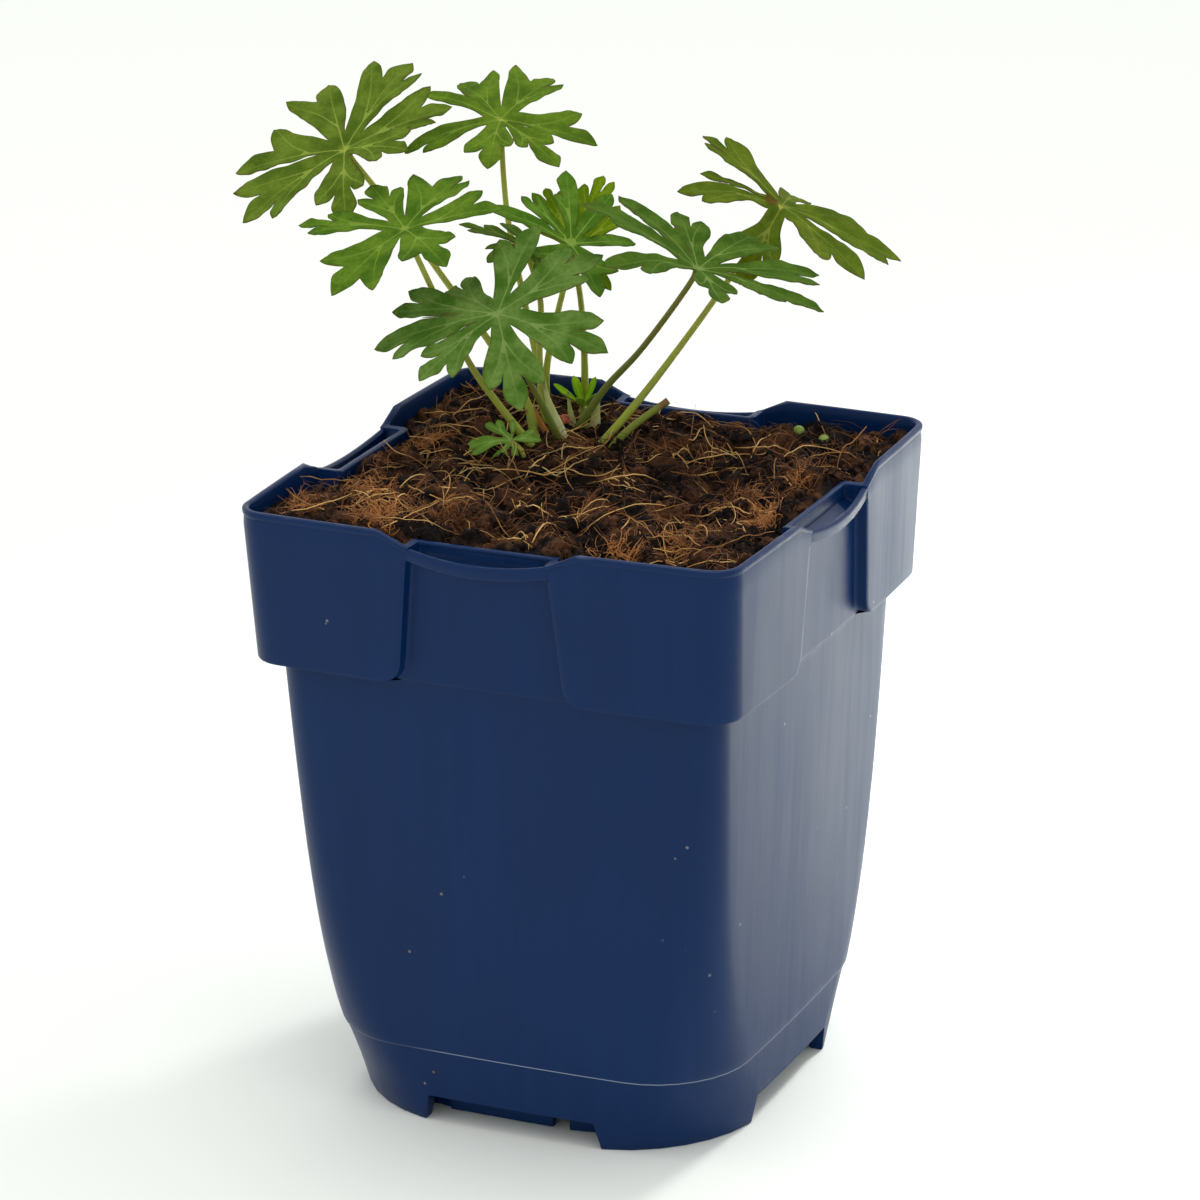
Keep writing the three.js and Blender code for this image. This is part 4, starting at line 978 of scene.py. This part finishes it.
def leafVeins(lobes):
    """"""
    main, small = [], []
    for lobe in lobes:
        c, s = math.cos(lobe["aim"]), math.sin(lobe["aim"])
        turn = np.array([[c, s], [-s, c]])
        reach = lobe["reach"]
        branch = leafShape["branch"] * reach
        main.append(np.array([(t * reach, 0) for t in np.linspace(0, 0.96, 24)]) @ turn)
        for side, sign in (("left", 1), ("right", -1)):
            border, cut = lobe[side + "Cleft"]
            tooth = lobe[side]
            if tooth:
                angle = abs(math.radians(tooth[0]))
                end = 0.95 * tooth[1] * np.array([math.cos(angle), math.sin(angle)])
                start = np.array([0.7 * branch, 0])
                bow = start + 0.45 * (end - start) + np.array([0.03 * reach, -0.02 * reach])
                line = splinePoints([start, bow, end], 0.5) * (1, sign)
                main.append(line @ turn)
                for part, out in ((0.45, 1), (0.66, -1), (0.8, 1)):
                    base = start + part * (end - start)
                    ahead = (end - start) / np.linalg.norm(end - start)
                    aside = np.array([-ahead[1], ahead[0]]) * out
                    tip = base + (0.11 * ahead + 0.055 * aside) * reach
                    small.append(np.array([base, (base + tip) / 2 + 0.008 * reach * aside, tip]) * (1, sign) @ turn)
            for part, size in ((0.2, 0.75), (0.52, 0.9), (0.66, 0.9), (0.8, 0.7)):
                base = np.array([part * reach, 0])
                if part < 0.3:
                    lean = min(border * 0.62, 0.8)
                    tip = base + 0.2 * reach * np.array([math.cos(lean), math.sin(lean)])
                else:
                    tip = base + size * reach * np.array([0.1, 0.075])
                small.append(np.array([base, base + 0.55 * (tip - base) + (0, 0.006 * reach), tip]) * (1, sign) @ turn)
    return main, small


def toSegments(points, lines):
    """"""
    starts = np.concatenate([line[:-1] for line in lines])
    ends = np.concatenate([line[1:] for line in lines])
    best = np.full(len(points), 1e9)
    runs = ends - starts
    lengths = np.maximum((runs**2).sum(1), 1e-12)
    for low in range(0, len(points), 2000):
        block = points[low:low + 2000, None, :]
        part = np.clip(((block - starts) * runs).sum(2) / lengths, 0, 1)
        gap = block - (starts + part[:, :, None] * runs)
        best[low:low + 2000] = np.sqrt((gap**2).sum(2).min(1))
    return best


def insideOf(points, loop):
    a, b = loop, np.roll(loop, -1, axis=0)
    x, y = points[:, 0, None], points[:, 1, None]
    crosses = (a[:, 1] > y) != (b[:, 1] > y)
    rise = np.where(b[:, 1] == a[:, 1], 1e-12, b[:, 1] - a[:, 1])
    return (crosses & (x < a[:, 0] + (y - a[:, 1]) * (b[:, 0] - a[:, 0]) / rise)).sum(1) % 2 == 1


def leafSheet(lobes, chance):
    """"""
    loop = leafOutline(lobes, chance)
    main, small = leafVeins(lobes)
    gap = leafShape["spacing"] * (0.5 if max(l["reach"] for l in lobes) < 10 else 1)
    low, high = loop.min(0), loop.max(0)
    rows = np.arange(low[1], high[1], gap * 0.87)
    grid = np.array([(x + (k % 2) * gap / 2, y) for k, y in enumerate(rows) for x in np.arange(low[0], high[0], gap)])
    grid = grid[insideOf(grid, loop)]
    closed = np.concatenate([loop, loop[:1]])
    clear = (toSegments(grid, [closed]) > 0.42 * gap) & (toSegments(grid, main + small) > 0.34 * gap)
    grid = grid[clear]
    veins = []
    for line in main + small:
        line = splinePoints(line, gap) if len(line) < 5 else line
        keep = insideOf(line, loop) & (toSegments(line, [closed]) > 0.22)
        keep[0] = True
        stop = int(np.argmin(keep)) if not keep.all() else len(line)
        if stop > 1:
            veins.append(line[:stop])
    points = [Vector(p) for p in loop]
    edges = [(i, (i + 1) % len(loop)) for i in range(len(loop))]
    for line in veins:
        base = len(points)
        points += [Vector(p) for p in line]
        edges += [(base + i, base + i + 1) for i in range(len(line) - 1)]
    points += [Vector(p) for p in grid]
    made = delaunay_2d_cdt(points, edges, [], 0, 0.02, False)
    flat, triangles = np.array([tuple(p) for p in made[0]]), np.array(made[2])
    triangles = triangles[insideOf(flat[triangles].mean(1), loop)]
    used = np.unique(triangles)
    renumber = np.full(len(flat), -1)
    renumber[used] = np.arange(len(used))
    return flat[used], renumber[triangles], closed, main, small


def leafSurface(flat, lobes):
    """"""
    radius, angle = np.hypot(*flat.T), np.arctan2(flat[:, 1], flat[:, 0])
    place = np.zeros((len(flat), 3))
    for i, lobe in enumerate(lobes):
        turn = (angle - lobe["aim"] + math.pi) % (2 * math.pi) - math.pi
        (leftTurn, leftCut), (rightTurn, rightCut) = lobe["leftCleft"], lobe["rightCleft"]
        mine = (turn <= leftTurn) & (turn > -rightTurn)
        r, t = radius[mine], turn[mine]
        here = lobePlace(lobe, r * np.cos(t), r * np.sin(t))
        total = here.copy()
        for other, edge, cut, away in ((lobes[(i + 1) % len(lobes)], leftTurn, leftCut, leftTurn - t),
                                       (lobes[i - 1], rightTurn, rightCut, rightTurn + t)):
            theirs = angle[mine] - other["aim"]
            there = lobePlace(other, r * np.cos(theirs), r * np.sin(theirs))
            weight = 0.5 * (1 - smooth(away / (0.75 * edge))) * (1 - smooth(r, cut, 2.0 * cut))
            total += weight[:, None] * (there - here)
        place[mine] = total
    return place


def vertexNormals(points, triangles):
    a, b, c = (points[triangles[:, k]] for k in range(3))
    face = np.cross(b - a, c - a)
    made = np.zeros_like(points)
    for k in range(3):
        np.add.at(made, triangles[:, k], face)
    return unit(made)


def leafTurn(leaf):
    tilt, lean = math.radians(leaf["tilt"]), math.radians(leaf["lean"])
    face = Vector((math.sin(tilt) * math.cos(lean), math.sin(tilt) * math.sin(lean), math.cos(tilt)))
    return np.array(Vector((0, 0, 1)).rotation_difference(face).to_matrix()), np.array(face)


def buildBlade(leaf, lobes, chance):
    flat, triangles, edge, main, small = leafSheet(lobes, chance)
    place = leafSurface(flat, lobes)
    up2 = vertexNormals(place, triangles)
    if up2[:, 2].mean() < 0:
        triangles, up2 = triangles[:, ::-1], -up2
    vein, veinlet, rim = toSegments(flat, main), toSegments(flat, small), toSegments(flat, [edge])
    size = max(lobe["reach"] for lobe in lobes) / 20
    lift = -leafShape["veinDepth"] * np.exp(-(vein / 0.3) ** 2) - leafShape["veinletDepth"] * np.exp(-(veinlet / 0.22) ** 2)
    lift += leafShape["puff"] * smooth(np.minimum(vein, veinlet * 1.6), 0.1, 1.1)
    seed = leaf["seed"] * 17.3
    broad = np.array([noise.noise(Vector((x * 0.11 + seed, y * 0.11, 1.7))) for x, y in flat])
    ripple = np.array([noise.noise(Vector((x * 0.42 + seed, y * 0.42, 5.1))) for x, y in flat])
    away = smooth(np.hypot(*flat.T), 2 * size, 9 * size)
    lift += leafShape["wave"] * size * away * broad * 2 + 0.32 * size * away * ripple * (1 - smooth(rim, 0, 1.6))
    top = place + up2 * lift[:, None] * min(size, 1)
    thick = leafShape["thickness"] * leaf.get("thin", 1) * (0.55 + 0.45 * smooth(rim, 0, 0.5))
    under = top - up2 * thick[:, None]
    turn, face = leafTurn(leaf)
    hub = np.array(leaf["hub"])
    both = np.clip(np.concatenate([top, under]) @ turn.T + hub, cadLow / mm - axis, cadHigh / mm - axis)
    count = len(top)
    pairs = {}
    for a, b, c in triangles:
        for pair in ((a, b), (b, c), (c, a)):
            pairs[pair] = True
    rimEdges = [(a, b) for a, b in pairs if (b, a) not in pairs]
    faces = [tuple(t) for t in triangles] + [tuple(t[::-1] + count) for t in triangles]
    faces += [(b, a, a + count, b + count) for a, b in rimEdges]
    blade = makeMesh(leaf["node"] + "_blade", both, faces)
    scale = max(size, 0.35)
    for name, values in (("vein", vein / scale**0.5), ("veinlet", veinlet / scale**0.5), ("rim", rim), ("out", np.hypot(*flat.T) / (20 * size))):
        addAttribute(blade, name, np.concatenate([values, values]))
    addAttribute(blade, "under", [0.0] * count + [1.0] * count)
    layer = blade.data.uv_layers.new(name="flat")
    corners = np.zeros(len(blade.data.loops), int)
    blade.data.loops.foreach_get("vertex_index", corners)
    spread = np.concatenate([flat, flat + 0.5]) / 50 + 0.5 + leaf["seed"]
    layer.data.foreach_set("uv", spread[corners].ravel().astype(np.float32))
    return blade, hub - face * 0.25


def stalkPath(leaf, seat):
    points = [np.array(p, float) for p in leaf["stalk"]]
    down = unit(points[1] - points[0])
    root = points[0] - down * stalkShape["rootDepth"]
    return splinePoints([root, *points, seat], 1.1)


def buildStalk(leaf, seat):
    path = stalkPath(leaf, seat)
    part = np.linspace(0, 1, len(path))
    thin = leaf.get("thin", 1)
    radii = np.interp(part, [0, 0.2, 0.55, 0.96, 1], [stalkShape["foot"] * 1.1, stalkShape["foot"], stalkShape["middle"],
                                                    stalkShape["top"], 0.75]) * thin
    points, faces = sweep(path, radii, stalkShape["sides"])
    stalk = makeMesh(leaf["node"] + "_stalk", points, faces)
    addAttribute(stalk, "out", np.repeat(part, stalkShape["sides"]))
    return stalk


leafColours = {
    "leaf_top_left": {"deep": srgb(68, 91, 22), "light": srgb(101, 124, 40), "vein": srgb(140, 158, 66), "rim": 0.8},
    "leaf_top_middle": {"deep": srgb(66, 94, 24), "light": srgb(101, 130, 34), "vein": srgb(126, 148, 58), "rim": 0.6},
    "leaf_middle_left": {"deep": srgb(59, 93, 20), "light": srgb(98, 128, 36), "vein": srgb(126, 150, 62), "rim": 0.55},
    "leaf_centre": {"deep": srgb(60, 98, 20), "light": srgb(92, 128, 40), "vein": srgb(132, 158, 68), "rim": 0.55},
    "leaf_centre_back": {"deep": srgb(72, 104, 6), "light": srgb(110, 136, 16), "vein": srgb(142, 162, 50), "rim": 0.65},
    "leaf_right_centre": {"deep": srgb(54, 84, 20), "light": srgb(82, 110, 36), "vein": srgb(118, 140, 74), "rim": 0.6},
    "leaf_front": {"deep": srgb(58, 93, 24), "light": srgb(101, 129, 60), "vein": srgb(120, 143, 76), "rim": 0.6},
    "leaf_right": {"deep": srgb(66, 88, 18), "light": srgb(96, 114, 30), "vein": srgb(122, 132, 56), "rim": 0.9,
                   "spots": [((14.2, 47, 145.4), 2.0, srgb(84, 56, 24), 0.75), ((42, 49, 142), 4.2, srgb(120, 92, 40), 0.8),
                             ((16, 32, 137), 9, srgb(104, 118, 2), 0.8), ((12, 54, 148), 5, srgb(104, 92, 56), 0.45)]},
    "leaf_behind_front": {"deep": srgb(58, 84, 20), "light": srgb(88, 114, 36), "vein": srgb(104, 124, 56), "rim": 0.5},
    "leaf_low": {"deep": srgb(94, 134, 46), "light": srgb(128, 166, 70), "vein": srgb(156, 186, 102), "rim": 0.3},
    "leaf_unfolding": {"deep": srgb(122, 170, 12), "light": srgb(162, 206, 38), "vein": srgb(188, 216, 90), "rim": 0.15},
}
leafColours["leaf_top_left"]["spots"] = [
    ((-71, 10, 153), 1.5, srgb(96, 58, 22), 0.85), ((-40.5, 25.5, 158), 2.6, srgb(104, 72, 34), 0.7),
    ((-42, 22, 157), 1.4, srgb(92, 52, 24), 0.9), ((-60, 5, 150), 3, srgb(110, 88, 30), 0.6),
]
rimBrown = srgb(96, 70, 40)


def readAttribute(tree, name):
    return addNode(tree, "ShaderNodeAttribute", attribute_name=name, attribute_type="GEOMETRY").outputs["Fac"]


def leafMaterial(name, colours):
    material, tree, shader = newMaterial(name, 0.7, 0.015)
    place = addNode(tree, "ShaderNodeUVMap", uv_map="flat").outputs["UV"]
    vein, veinlet, rim, out, under = (readAttribute(tree, key) for key in ("vein", "veinlet", "rim", "out", "under"))
    patches = noiseValue(tree, place, 9, 4, 0.55)
    fine = noiseValue(tree, place, 60, 3, 0.6)
    cells = addNode(tree, "ShaderNodeTexVoronoi", {"Vector": place, "Scale": 62.0}, feature="DISTANCE_TO_EDGE")
    net = remap(tree, cells.outputs["Distance"], 0.0, 0.09, 1, 0)
    colour = mixColour(tree, remap(tree, patches, 0.32, 0.68), colours["deep"], colours["light"])
    colour = mixColour(tree, remap(tree, fine, 0.35, 0.75, 0, 0.45), colour, colours["deep"])
    colour = mixColour(tree, mathNode(tree, "MULTIPLY", net, 0.08), colour, colours["vein"])
    colour = mixColour(tree, remap(tree, out, 0.0, 0.09, 0.6, 0), colour, colours["vein"])
    colour = mixColour(tree, remap(tree, veinlet, 0.02, 0.13, 0.16, 0), colour, colours["vein"])
    colour = mixColour(tree, remap(tree, vein, 0.1, 0.6, 0.14, 0), colour, colours["light"])
    line = mathNode(tree, "MULTIPLY", remap(tree, vein, 0.03, 0.16, 1, 0), remap(tree, out, 0.1, 0.85, 0.9, 0.2))
    colour = mixColour(tree, line, colour, colours["vein"])
    edgeNoise = remap(tree, noiseValue(tree, place, 22, 2), 0.4, 0.62)
    browned = mathNode(tree, "MULTIPLY", mathNode(tree, "MULTIPLY", remap(tree, rim, 0.03, 0.22, 1, 0), edgeNoise),
                       colours["rim"])
    colour = mixColour(tree, browned, colour, rimBrown)
    colour = mixColour(tree, mathNode(tree, "MULTIPLY", under, 0.3), colour, srgb(128, 148, 92))
    for spot in colours.get("spots", []):
        colour = addSpot(tree, colour, *spot)
    tree.links.new(colour, shader.inputs["Base Color"])
    tree.links.new(remap(tree, fine, 0.3, 0.7, 0.6, 0.75), shader.inputs["Roughness"])
    height = mathNode(tree, "ADD", mathNode(tree, "MULTIPLY", net, -0.5), mathNode(tree, "MULTIPLY", fine, 0.8))
    addBump(tree, shader, height, 0.45, 0.00025)
    return material


def addSpot(tree, colour, centre, radius, paint, strength):
    """"""
    place = addNode(tree, "ShaderNodeTexCoord").outputs["Object"]
    centre = (np.array(centre) + axis) * mm
    away = addNode(tree, "ShaderNodeVectorMath", {0: place, 1: tuple(centre)}, operation="DISTANCE")
    ragged = mathNode(tree, "ADD", away.outputs["Value"], remap(tree, noiseValue(tree, place, 700, 3), 0.2, 0.8, -radius * 0.5 * mm, radius * 0.5 * mm, "LINEAR"))
    return mixColour(tree, remap(tree, ragged, 0.4 * radius * mm, radius * mm, strength, 0), colour, paint)


def stalkMaterial(name, low, high, dried=0.0):
    material, tree, shader = newMaterial(name, 0.5, 0.25)
    place = objectPlace(tree)
    out = readAttribute(tree, "out")
    colour = mixColour(tree, remap(tree, out, 0.15, 0.7), low, high)
    colour = mixColour(tree, remap(tree, noiseValue(tree, place, 300, 3), 0.4, 0.7, 0, 0.3), colour, srgb(134, 122, 62))
    colour = mixColour(tree, remap(tree, out, 0.86, 0.95, 0, dried), colour, srgb(126, 96, 58))
    tree.links.new(colour, shader.inputs["Base Color"])
    addBump(tree, shader, noiseValue(tree, objectPlace(tree, (1, 1, 0.15)), 1500, 2), 0.4, 0.0002)
    return material


stalkPlain = stalkMaterial("stalk_green", srgb(156, 170, 58), srgb(160, 166, 62))
stalkDark = stalkMaterial("stalk_olive", srgb(104, 124, 48), srgb(122, 124, 52))
stubPaint = stalkMaterial("stub_green", srgb(134, 154, 50), srgb(124, 138, 50), 0.95)
stalkKinds = {"leaf_right_centre": stalkDark, "leaf_front": stalkDark}

# a scale is a thin papery sheath open on one side: foot, tip, width at the foot, turn of its open side, colours
scales = {
    "leaf_behind_front": [
        {"foot": (-13.5, 19.8, 104), "tip": (-16.9, 19.2, 117), "width": 1.55, "open": 80, "paint": "pale"},
        {"foot": (-14.3, 17.5, 104), "tip": (-17.7, 16.9, 113.2), "width": 1.1, "open": 80, "paint": "brown"},
        {"foot": (-16.0, 15.6, 104), "tip": (-18.6, 15.2, 113.2), "width": 1.1, "open": 100, "paint": "green"},
    ],
    "leaf_unfolding": [
        {"foot": (-14.9, 27.2, 104), "tip": (-15.7, 26.8, 113.4), "width": 1.1, "open": 60, "paint": "pale"},
        {"foot": (-11.7, 27.2, 104), "tip": (-10.0, 26.8, 113), "width": 1.1, "open": 120, "paint": "pale"},
        {"foot": (-13.3, 27.4, 104), "tip": (-13.5, 27.6, 110.8), "width": 1.25, "open": 90, "paint": "green"},
    ],
}
scaleShape = {"rows": 14, "columns": 9, "spread": 118, "thickness": 0.14, "taper": 0.62, "taperPower": 2.4}


def scaleMaterial(name, low, high):
    material, tree, shader = newMaterial(name, 0.55, 0.3)
    out = readAttribute(tree, "out")
    colour = mixColour(tree, remap(tree, out, 0.1, 0.8), low, high)
    colour = mixColour(tree, remap(tree, out, 0.86, 1.0, 0, 0.8), colour, srgb(120, 84, 44))
    ribs = noiseValue(tree, objectPlace(tree, (1, 1, 0.08)), 1800, 2)
    colour = mixColour(tree, remap(tree, ribs, 0.4, 0.7, 0, 0.25), colour, srgb(150, 132, 86))
    tree.links.new(colour, shader.inputs["Base Color"])
    addBump(tree, shader, ribs, 0.5, 0.0002)
    return material


scalePaints = {
    "pale": scaleMaterial("sheath_pale", srgb(214, 214, 170), srgb(192, 204, 124)),
    "green": scaleMaterial("sheath_green", srgb(172, 182, 96), srgb(146, 164, 62)),
    "brown": scaleMaterial("sheath_brown", srgb(150, 82, 34), srgb(190, 124, 54)),
}


def buildScale(name, scale):
    foot, tip = np.array(scale["foot"], float), np.array(scale["tip"], float)
    ahead = unit(tip - foot)
    side = unit(np.cross(ahead, [0.2, 1.0, 0.0]))
    other = np.cross(ahead, side)
    rows, columns = scaleShape["rows"], scaleShape["columns"]
    points, parts = [], []
    for thick in (0, scaleShape["thickness"]):
        for i in range(rows + 1):
            part = i / rows
            bulge = 1 + 0.18 * math.sin(math.pi * min(part * 1.6, 1))
            radius = scale["width"] * (bulge - scaleShape["taper"] * part ** scaleShape["taperPower"]) * 0.8 - thick
            spread = math.radians(scaleShape["spread"]) * (1 - 0.72 * part**2)
            for k in range(columns + 1):
                turn = math.radians(scale["open"]) + spread * (2 * k / columns - 1)
                flutter = 0.06 * math.sin(5 * part + 2.2 * k)
                out = max(radius, 0.05) + flutter
                points.append(foot + ahead * part * np.linalg.norm(tip - foot)
                              + out * (math.cos(turn) * side + math.sin(turn) * other))
                parts.append(part)
    width, half = columns + 1, (rows + 1) * (columns + 1)
    cell = lambda i, k, low: low * half + i * width + k
    faces = []
    for i in range(rows):
        for k in range(columns):
            faces.append((cell(i, k, 0), cell(i, k + 1, 0), cell(i + 1, k + 1, 0), cell(i + 1, k, 0)))
            faces.append((cell(i, k, 1), cell(i + 1, k, 1), cell(i + 1, k + 1, 1), cell(i, k + 1, 1)))
        faces.append((cell(i, 0, 0), cell(i + 1, 0, 0), cell(i + 1, 0, 1), cell(i, 0, 1)))
        faces.append((cell(i, columns, 0), cell(i, columns, 1), cell(i + 1, columns, 1), cell(i + 1, columns, 0)))
    for k in range(columns):
        faces.append((cell(0, k, 0), cell(0, k, 1), cell(0, k + 1, 1), cell(0, k + 1, 0)))
        faces.append((cell(rows, k, 0), cell(rows, k + 1, 0), cell(rows, k + 1, 1), cell(rows, k, 1)))
    made = makeMesh(name, points, faces, scalePaints[scale["paint"]])
    form = bmesh.new()
    form.from_mesh(made.data)
    bmesh.ops.recalc_face_normals(form, faces=form.faces)
    form.to_mesh(made.data)
    form.free()
    addAttribute(made, "out", parts)
    return made


for leaf in leaves:
    chance = random.Random(leaf["seed"])
    lobes = leafLobes(leaf)
    blade, seat = buildBlade(leaf, lobes, chance)
    blade.data.materials.append(leafMaterial(leaf["node"] + "_green", leafColours[leaf["node"]]))
    stalk = buildStalk(leaf, seat)
    stalk.data.materials.append(stalkKinds.get(leaf["node"], stalkPlain))
    sheaths = [buildScale(leaf["node"] + "_scale", scale) for scale in scales.get(leaf["node"], [])]
    whole = joined([blade, stalk, *sheaths], leaf["node"] + "_living")
    finished(whole, "young_leaf" if leaf["node"] == "leaf_unfolding" else "leaf", leaf["node"])
    print(leaf["node"], len(whole.data.polygons), "faces")


# ---- cut stub, twigs, bark chip and beads ----

stubPath = splinePoints([(-5.2, 16.6, 102.5), (-3.6, 17.4, 107), (-0.6, 18.8, 110.6), (5.4, 21.6, 115.5)], 0.8)
points, faces = sweep(stubPath, np.interp(np.linspace(0, 1, len(stubPath)), [0, 0.9, 1], [0.72, 0.6, 0.66]), 12)
stub = makeMesh("cut_stalk", points, faces, stubPaint)
addAttribute(stub, "out", np.repeat(np.linspace(0, 1, len(stubPath)), 12))
finished(stub, "stalk", "stalk_stub")


def brownMaterial(name, light, dark, rough=0.8):
    material, tree, shader = newMaterial(name, rough, 0.2)
    place = objectPlace(tree)
    grain = noiseValue(tree, objectPlace(tree, (1, 1, 0.2)), 1400, 4)
    colour = mixColour(tree, remap(tree, grain, 0.35, 0.65), light, dark)
    tree.links.new(colour, shader.inputs["Base Color"])
    addBump(tree, shader, noiseValue(tree, place, 2200, 3), 0.7, 0.0003)
    return material


def pebble(name, centre, size, material, seed, rough):
    """"""
    form = bmesh.new()
    bmesh.ops.create_icosphere(form, subdivisions=3, radius=1)
    for vert in form.verts:
        swellOut = 1 + rough * noise.noise(vert.co * 1.4 + Vector((seed, 0, 0)))
        vert.co = Vector([vert.co[i] * size[i] * swellOut for i in range(3)])
        vert.co = (vert.co + Vector(centre) + Vector(axis)) * mm
    mesh = bpy.data.meshes.new(name)
    form.to_mesh(mesh)
    form.free()
    made = bpy.data.objects.new(name, mesh)
    bpy.context.scene.collection.objects.link(made)
    mesh.materials.append(material)
    mesh.polygons.foreach_set("use_smooth", [True] * len(mesh.polygons))
    return finished(made, "soil")


pebble("bark_chip", (-15.2, 22.6, 109.5), (1.5, 1.0, 0.8), brownMaterial("bark_red", srgb(206, 116, 92), srgb(146, 72, 54)), 3, 0.5)
beadPaint = brownMaterial("bead_green", srgb(150, 170, 84), srgb(116, 140, 60), 0.5)
for number, place in enumerate([(25.2, 33.2), (29.2, 34.6)]):
    ground = float(soilHeight(*place)[0])
    pebble("green_bead_%d" % (number + 1), (*place, ground + 1.4), (0.95, 0.85, 0.8), beadPaint, number, 0.12)

twigs = [
    [(-9.5, 30.5, 105), (-9.8, 31, 108.5), (-9.2, 31.4, 111.6)], [(-9.2, 31, 106), (-8, 32, 109), (-7.4, 32.4, 110.4)],
    [(-38.5, 24, 104), (-39, 24.2, 108), (-38.6, 24.5, 110.2)], [(-2, 33, 105), (-0.5, 34, 108.4), (1.5, 34.6, 109.6)],
    [(3, 30, 105), (4.5, 31, 107.8), (7, 31.4, 108.8)], [(-31, 14, 105), (-30.4, 14.6, 108), (-29.4, 15.4, 109.8)],
    [(30, 30, 104), (31, 31.5, 107), (33, 32, 108.6)], [(-24, 36, 104), (-23.4, 37, 107.4), (-22.6, 37.6, 109.2)],
]
strands("standing_twigs", [splinePoints(twig, 0.6) for twig in twigs], [0.2, 0.14, 0.16, 0.18, 0.15, 0.13, 0.14, 0.15],
        brownMaterial("twig_brown", srgb(96, 60, 38), srgb(52, 32, 22)), 6, "soil")


# ---- floor, light and camera ----

def buildStage():
    material, tree, shader = newMaterial("pale_floor", 0.9, 0.1)
    shader.inputs["Base Color"].default_value = (0.88, 0.91, 0.86, 1)
    mesh = bpy.data.meshes.new("floor")
    mesh.from_pydata([(-4, -4, 0), (4, -4, 0), (4, 4, 0), (-4, 4, 0)], [], [(0, 1, 2, 3)])
    floor = bpy.data.objects.new("floor", mesh)
    bpy.context.scene.collection.objects.link(floor)
    mesh.materials.append(material)
    floor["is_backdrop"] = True
    world = bpy.data.worlds.new("studio")
    bpy.context.scene.world = world
    world.use_nodes = True
    world.node_tree.nodes["Background"].inputs["Color"].default_value = (1, 1, 1, 1)
    world.node_tree.nodes["Background"].inputs["Strength"].default_value = 1.0


lamps = [
    {"name": "key_light", "place": (-0.1, 0.0, 1.3), "size": 0.7, "power": 3.2, "spread": 180, "aim": (0, 0, 0.1)},
    {"name": "floor_light", "place": (0.3, 0.8, 0.7), "size": 0.25, "power": 0.95, "spread": 30, "aim": (0.16, 0.27, 0)},
]


def buildLamps():
    for lamp in lamps:
        data = bpy.data.lights.new(lamp["name"], "AREA")
        data.shape, data.size, data.energy = "DISK", lamp["size"], lamp["power"]
        data.spread = math.radians(lamp["spread"])
        obj = bpy.data.objects.new(lamp["name"], data)
        obj.location = lamp["place"]
        aim = Vector(lamp["aim"]) - obj.location
        obj.rotation_euler = aim.to_track_quat("-Z", "Y").to_euler()
        bpy.context.scene.collection.objects.link(obj)


cameraPlace = {"azimuth": 24.2, "elevation": 19.3, "roll": -0.85, "distance": 917, "lens": 160.56, "aim": (2.7, -2.4, 86.4)}


def buildCamera():
    a, e, roll = (math.radians(cameraPlace[key]) for key in ("azimuth", "elevation", "roll"))
    back = np.array([math.sin(a) * math.cos(e), -math.cos(a) * math.cos(e), math.sin(e)])
    right = unit(np.cross(-back, up))
    high = np.cross(back, right)
    x = right * math.cos(roll) + high * math.sin(roll)
    y = -right * math.sin(roll) + high * math.cos(roll)
    data = bpy.data.cameras.new("camera")
    data.lens, data.sensor_width = cameraPlace["lens"], 36
    data.clip_start, data.clip_end = 0.05, 20
    camera = bpy.data.objects.new("camera", data)
    place = (np.array(cameraPlace["aim"]) + axis) * mm + back * cameraPlace["distance"] * mm
    turn = Matrix([[x[i], y[i], back[i], place[i]] for i in range(3)] + [[0, 0, 0, 1]])
    camera.matrix_world = turn
    bpy.context.scene.collection.objects.link(camera)
    bpy.context.scene.camera = camera


buildStage()
buildLamps()
buildCamera()
bpy.context.scene.view_settings.view_transform = "Standard"
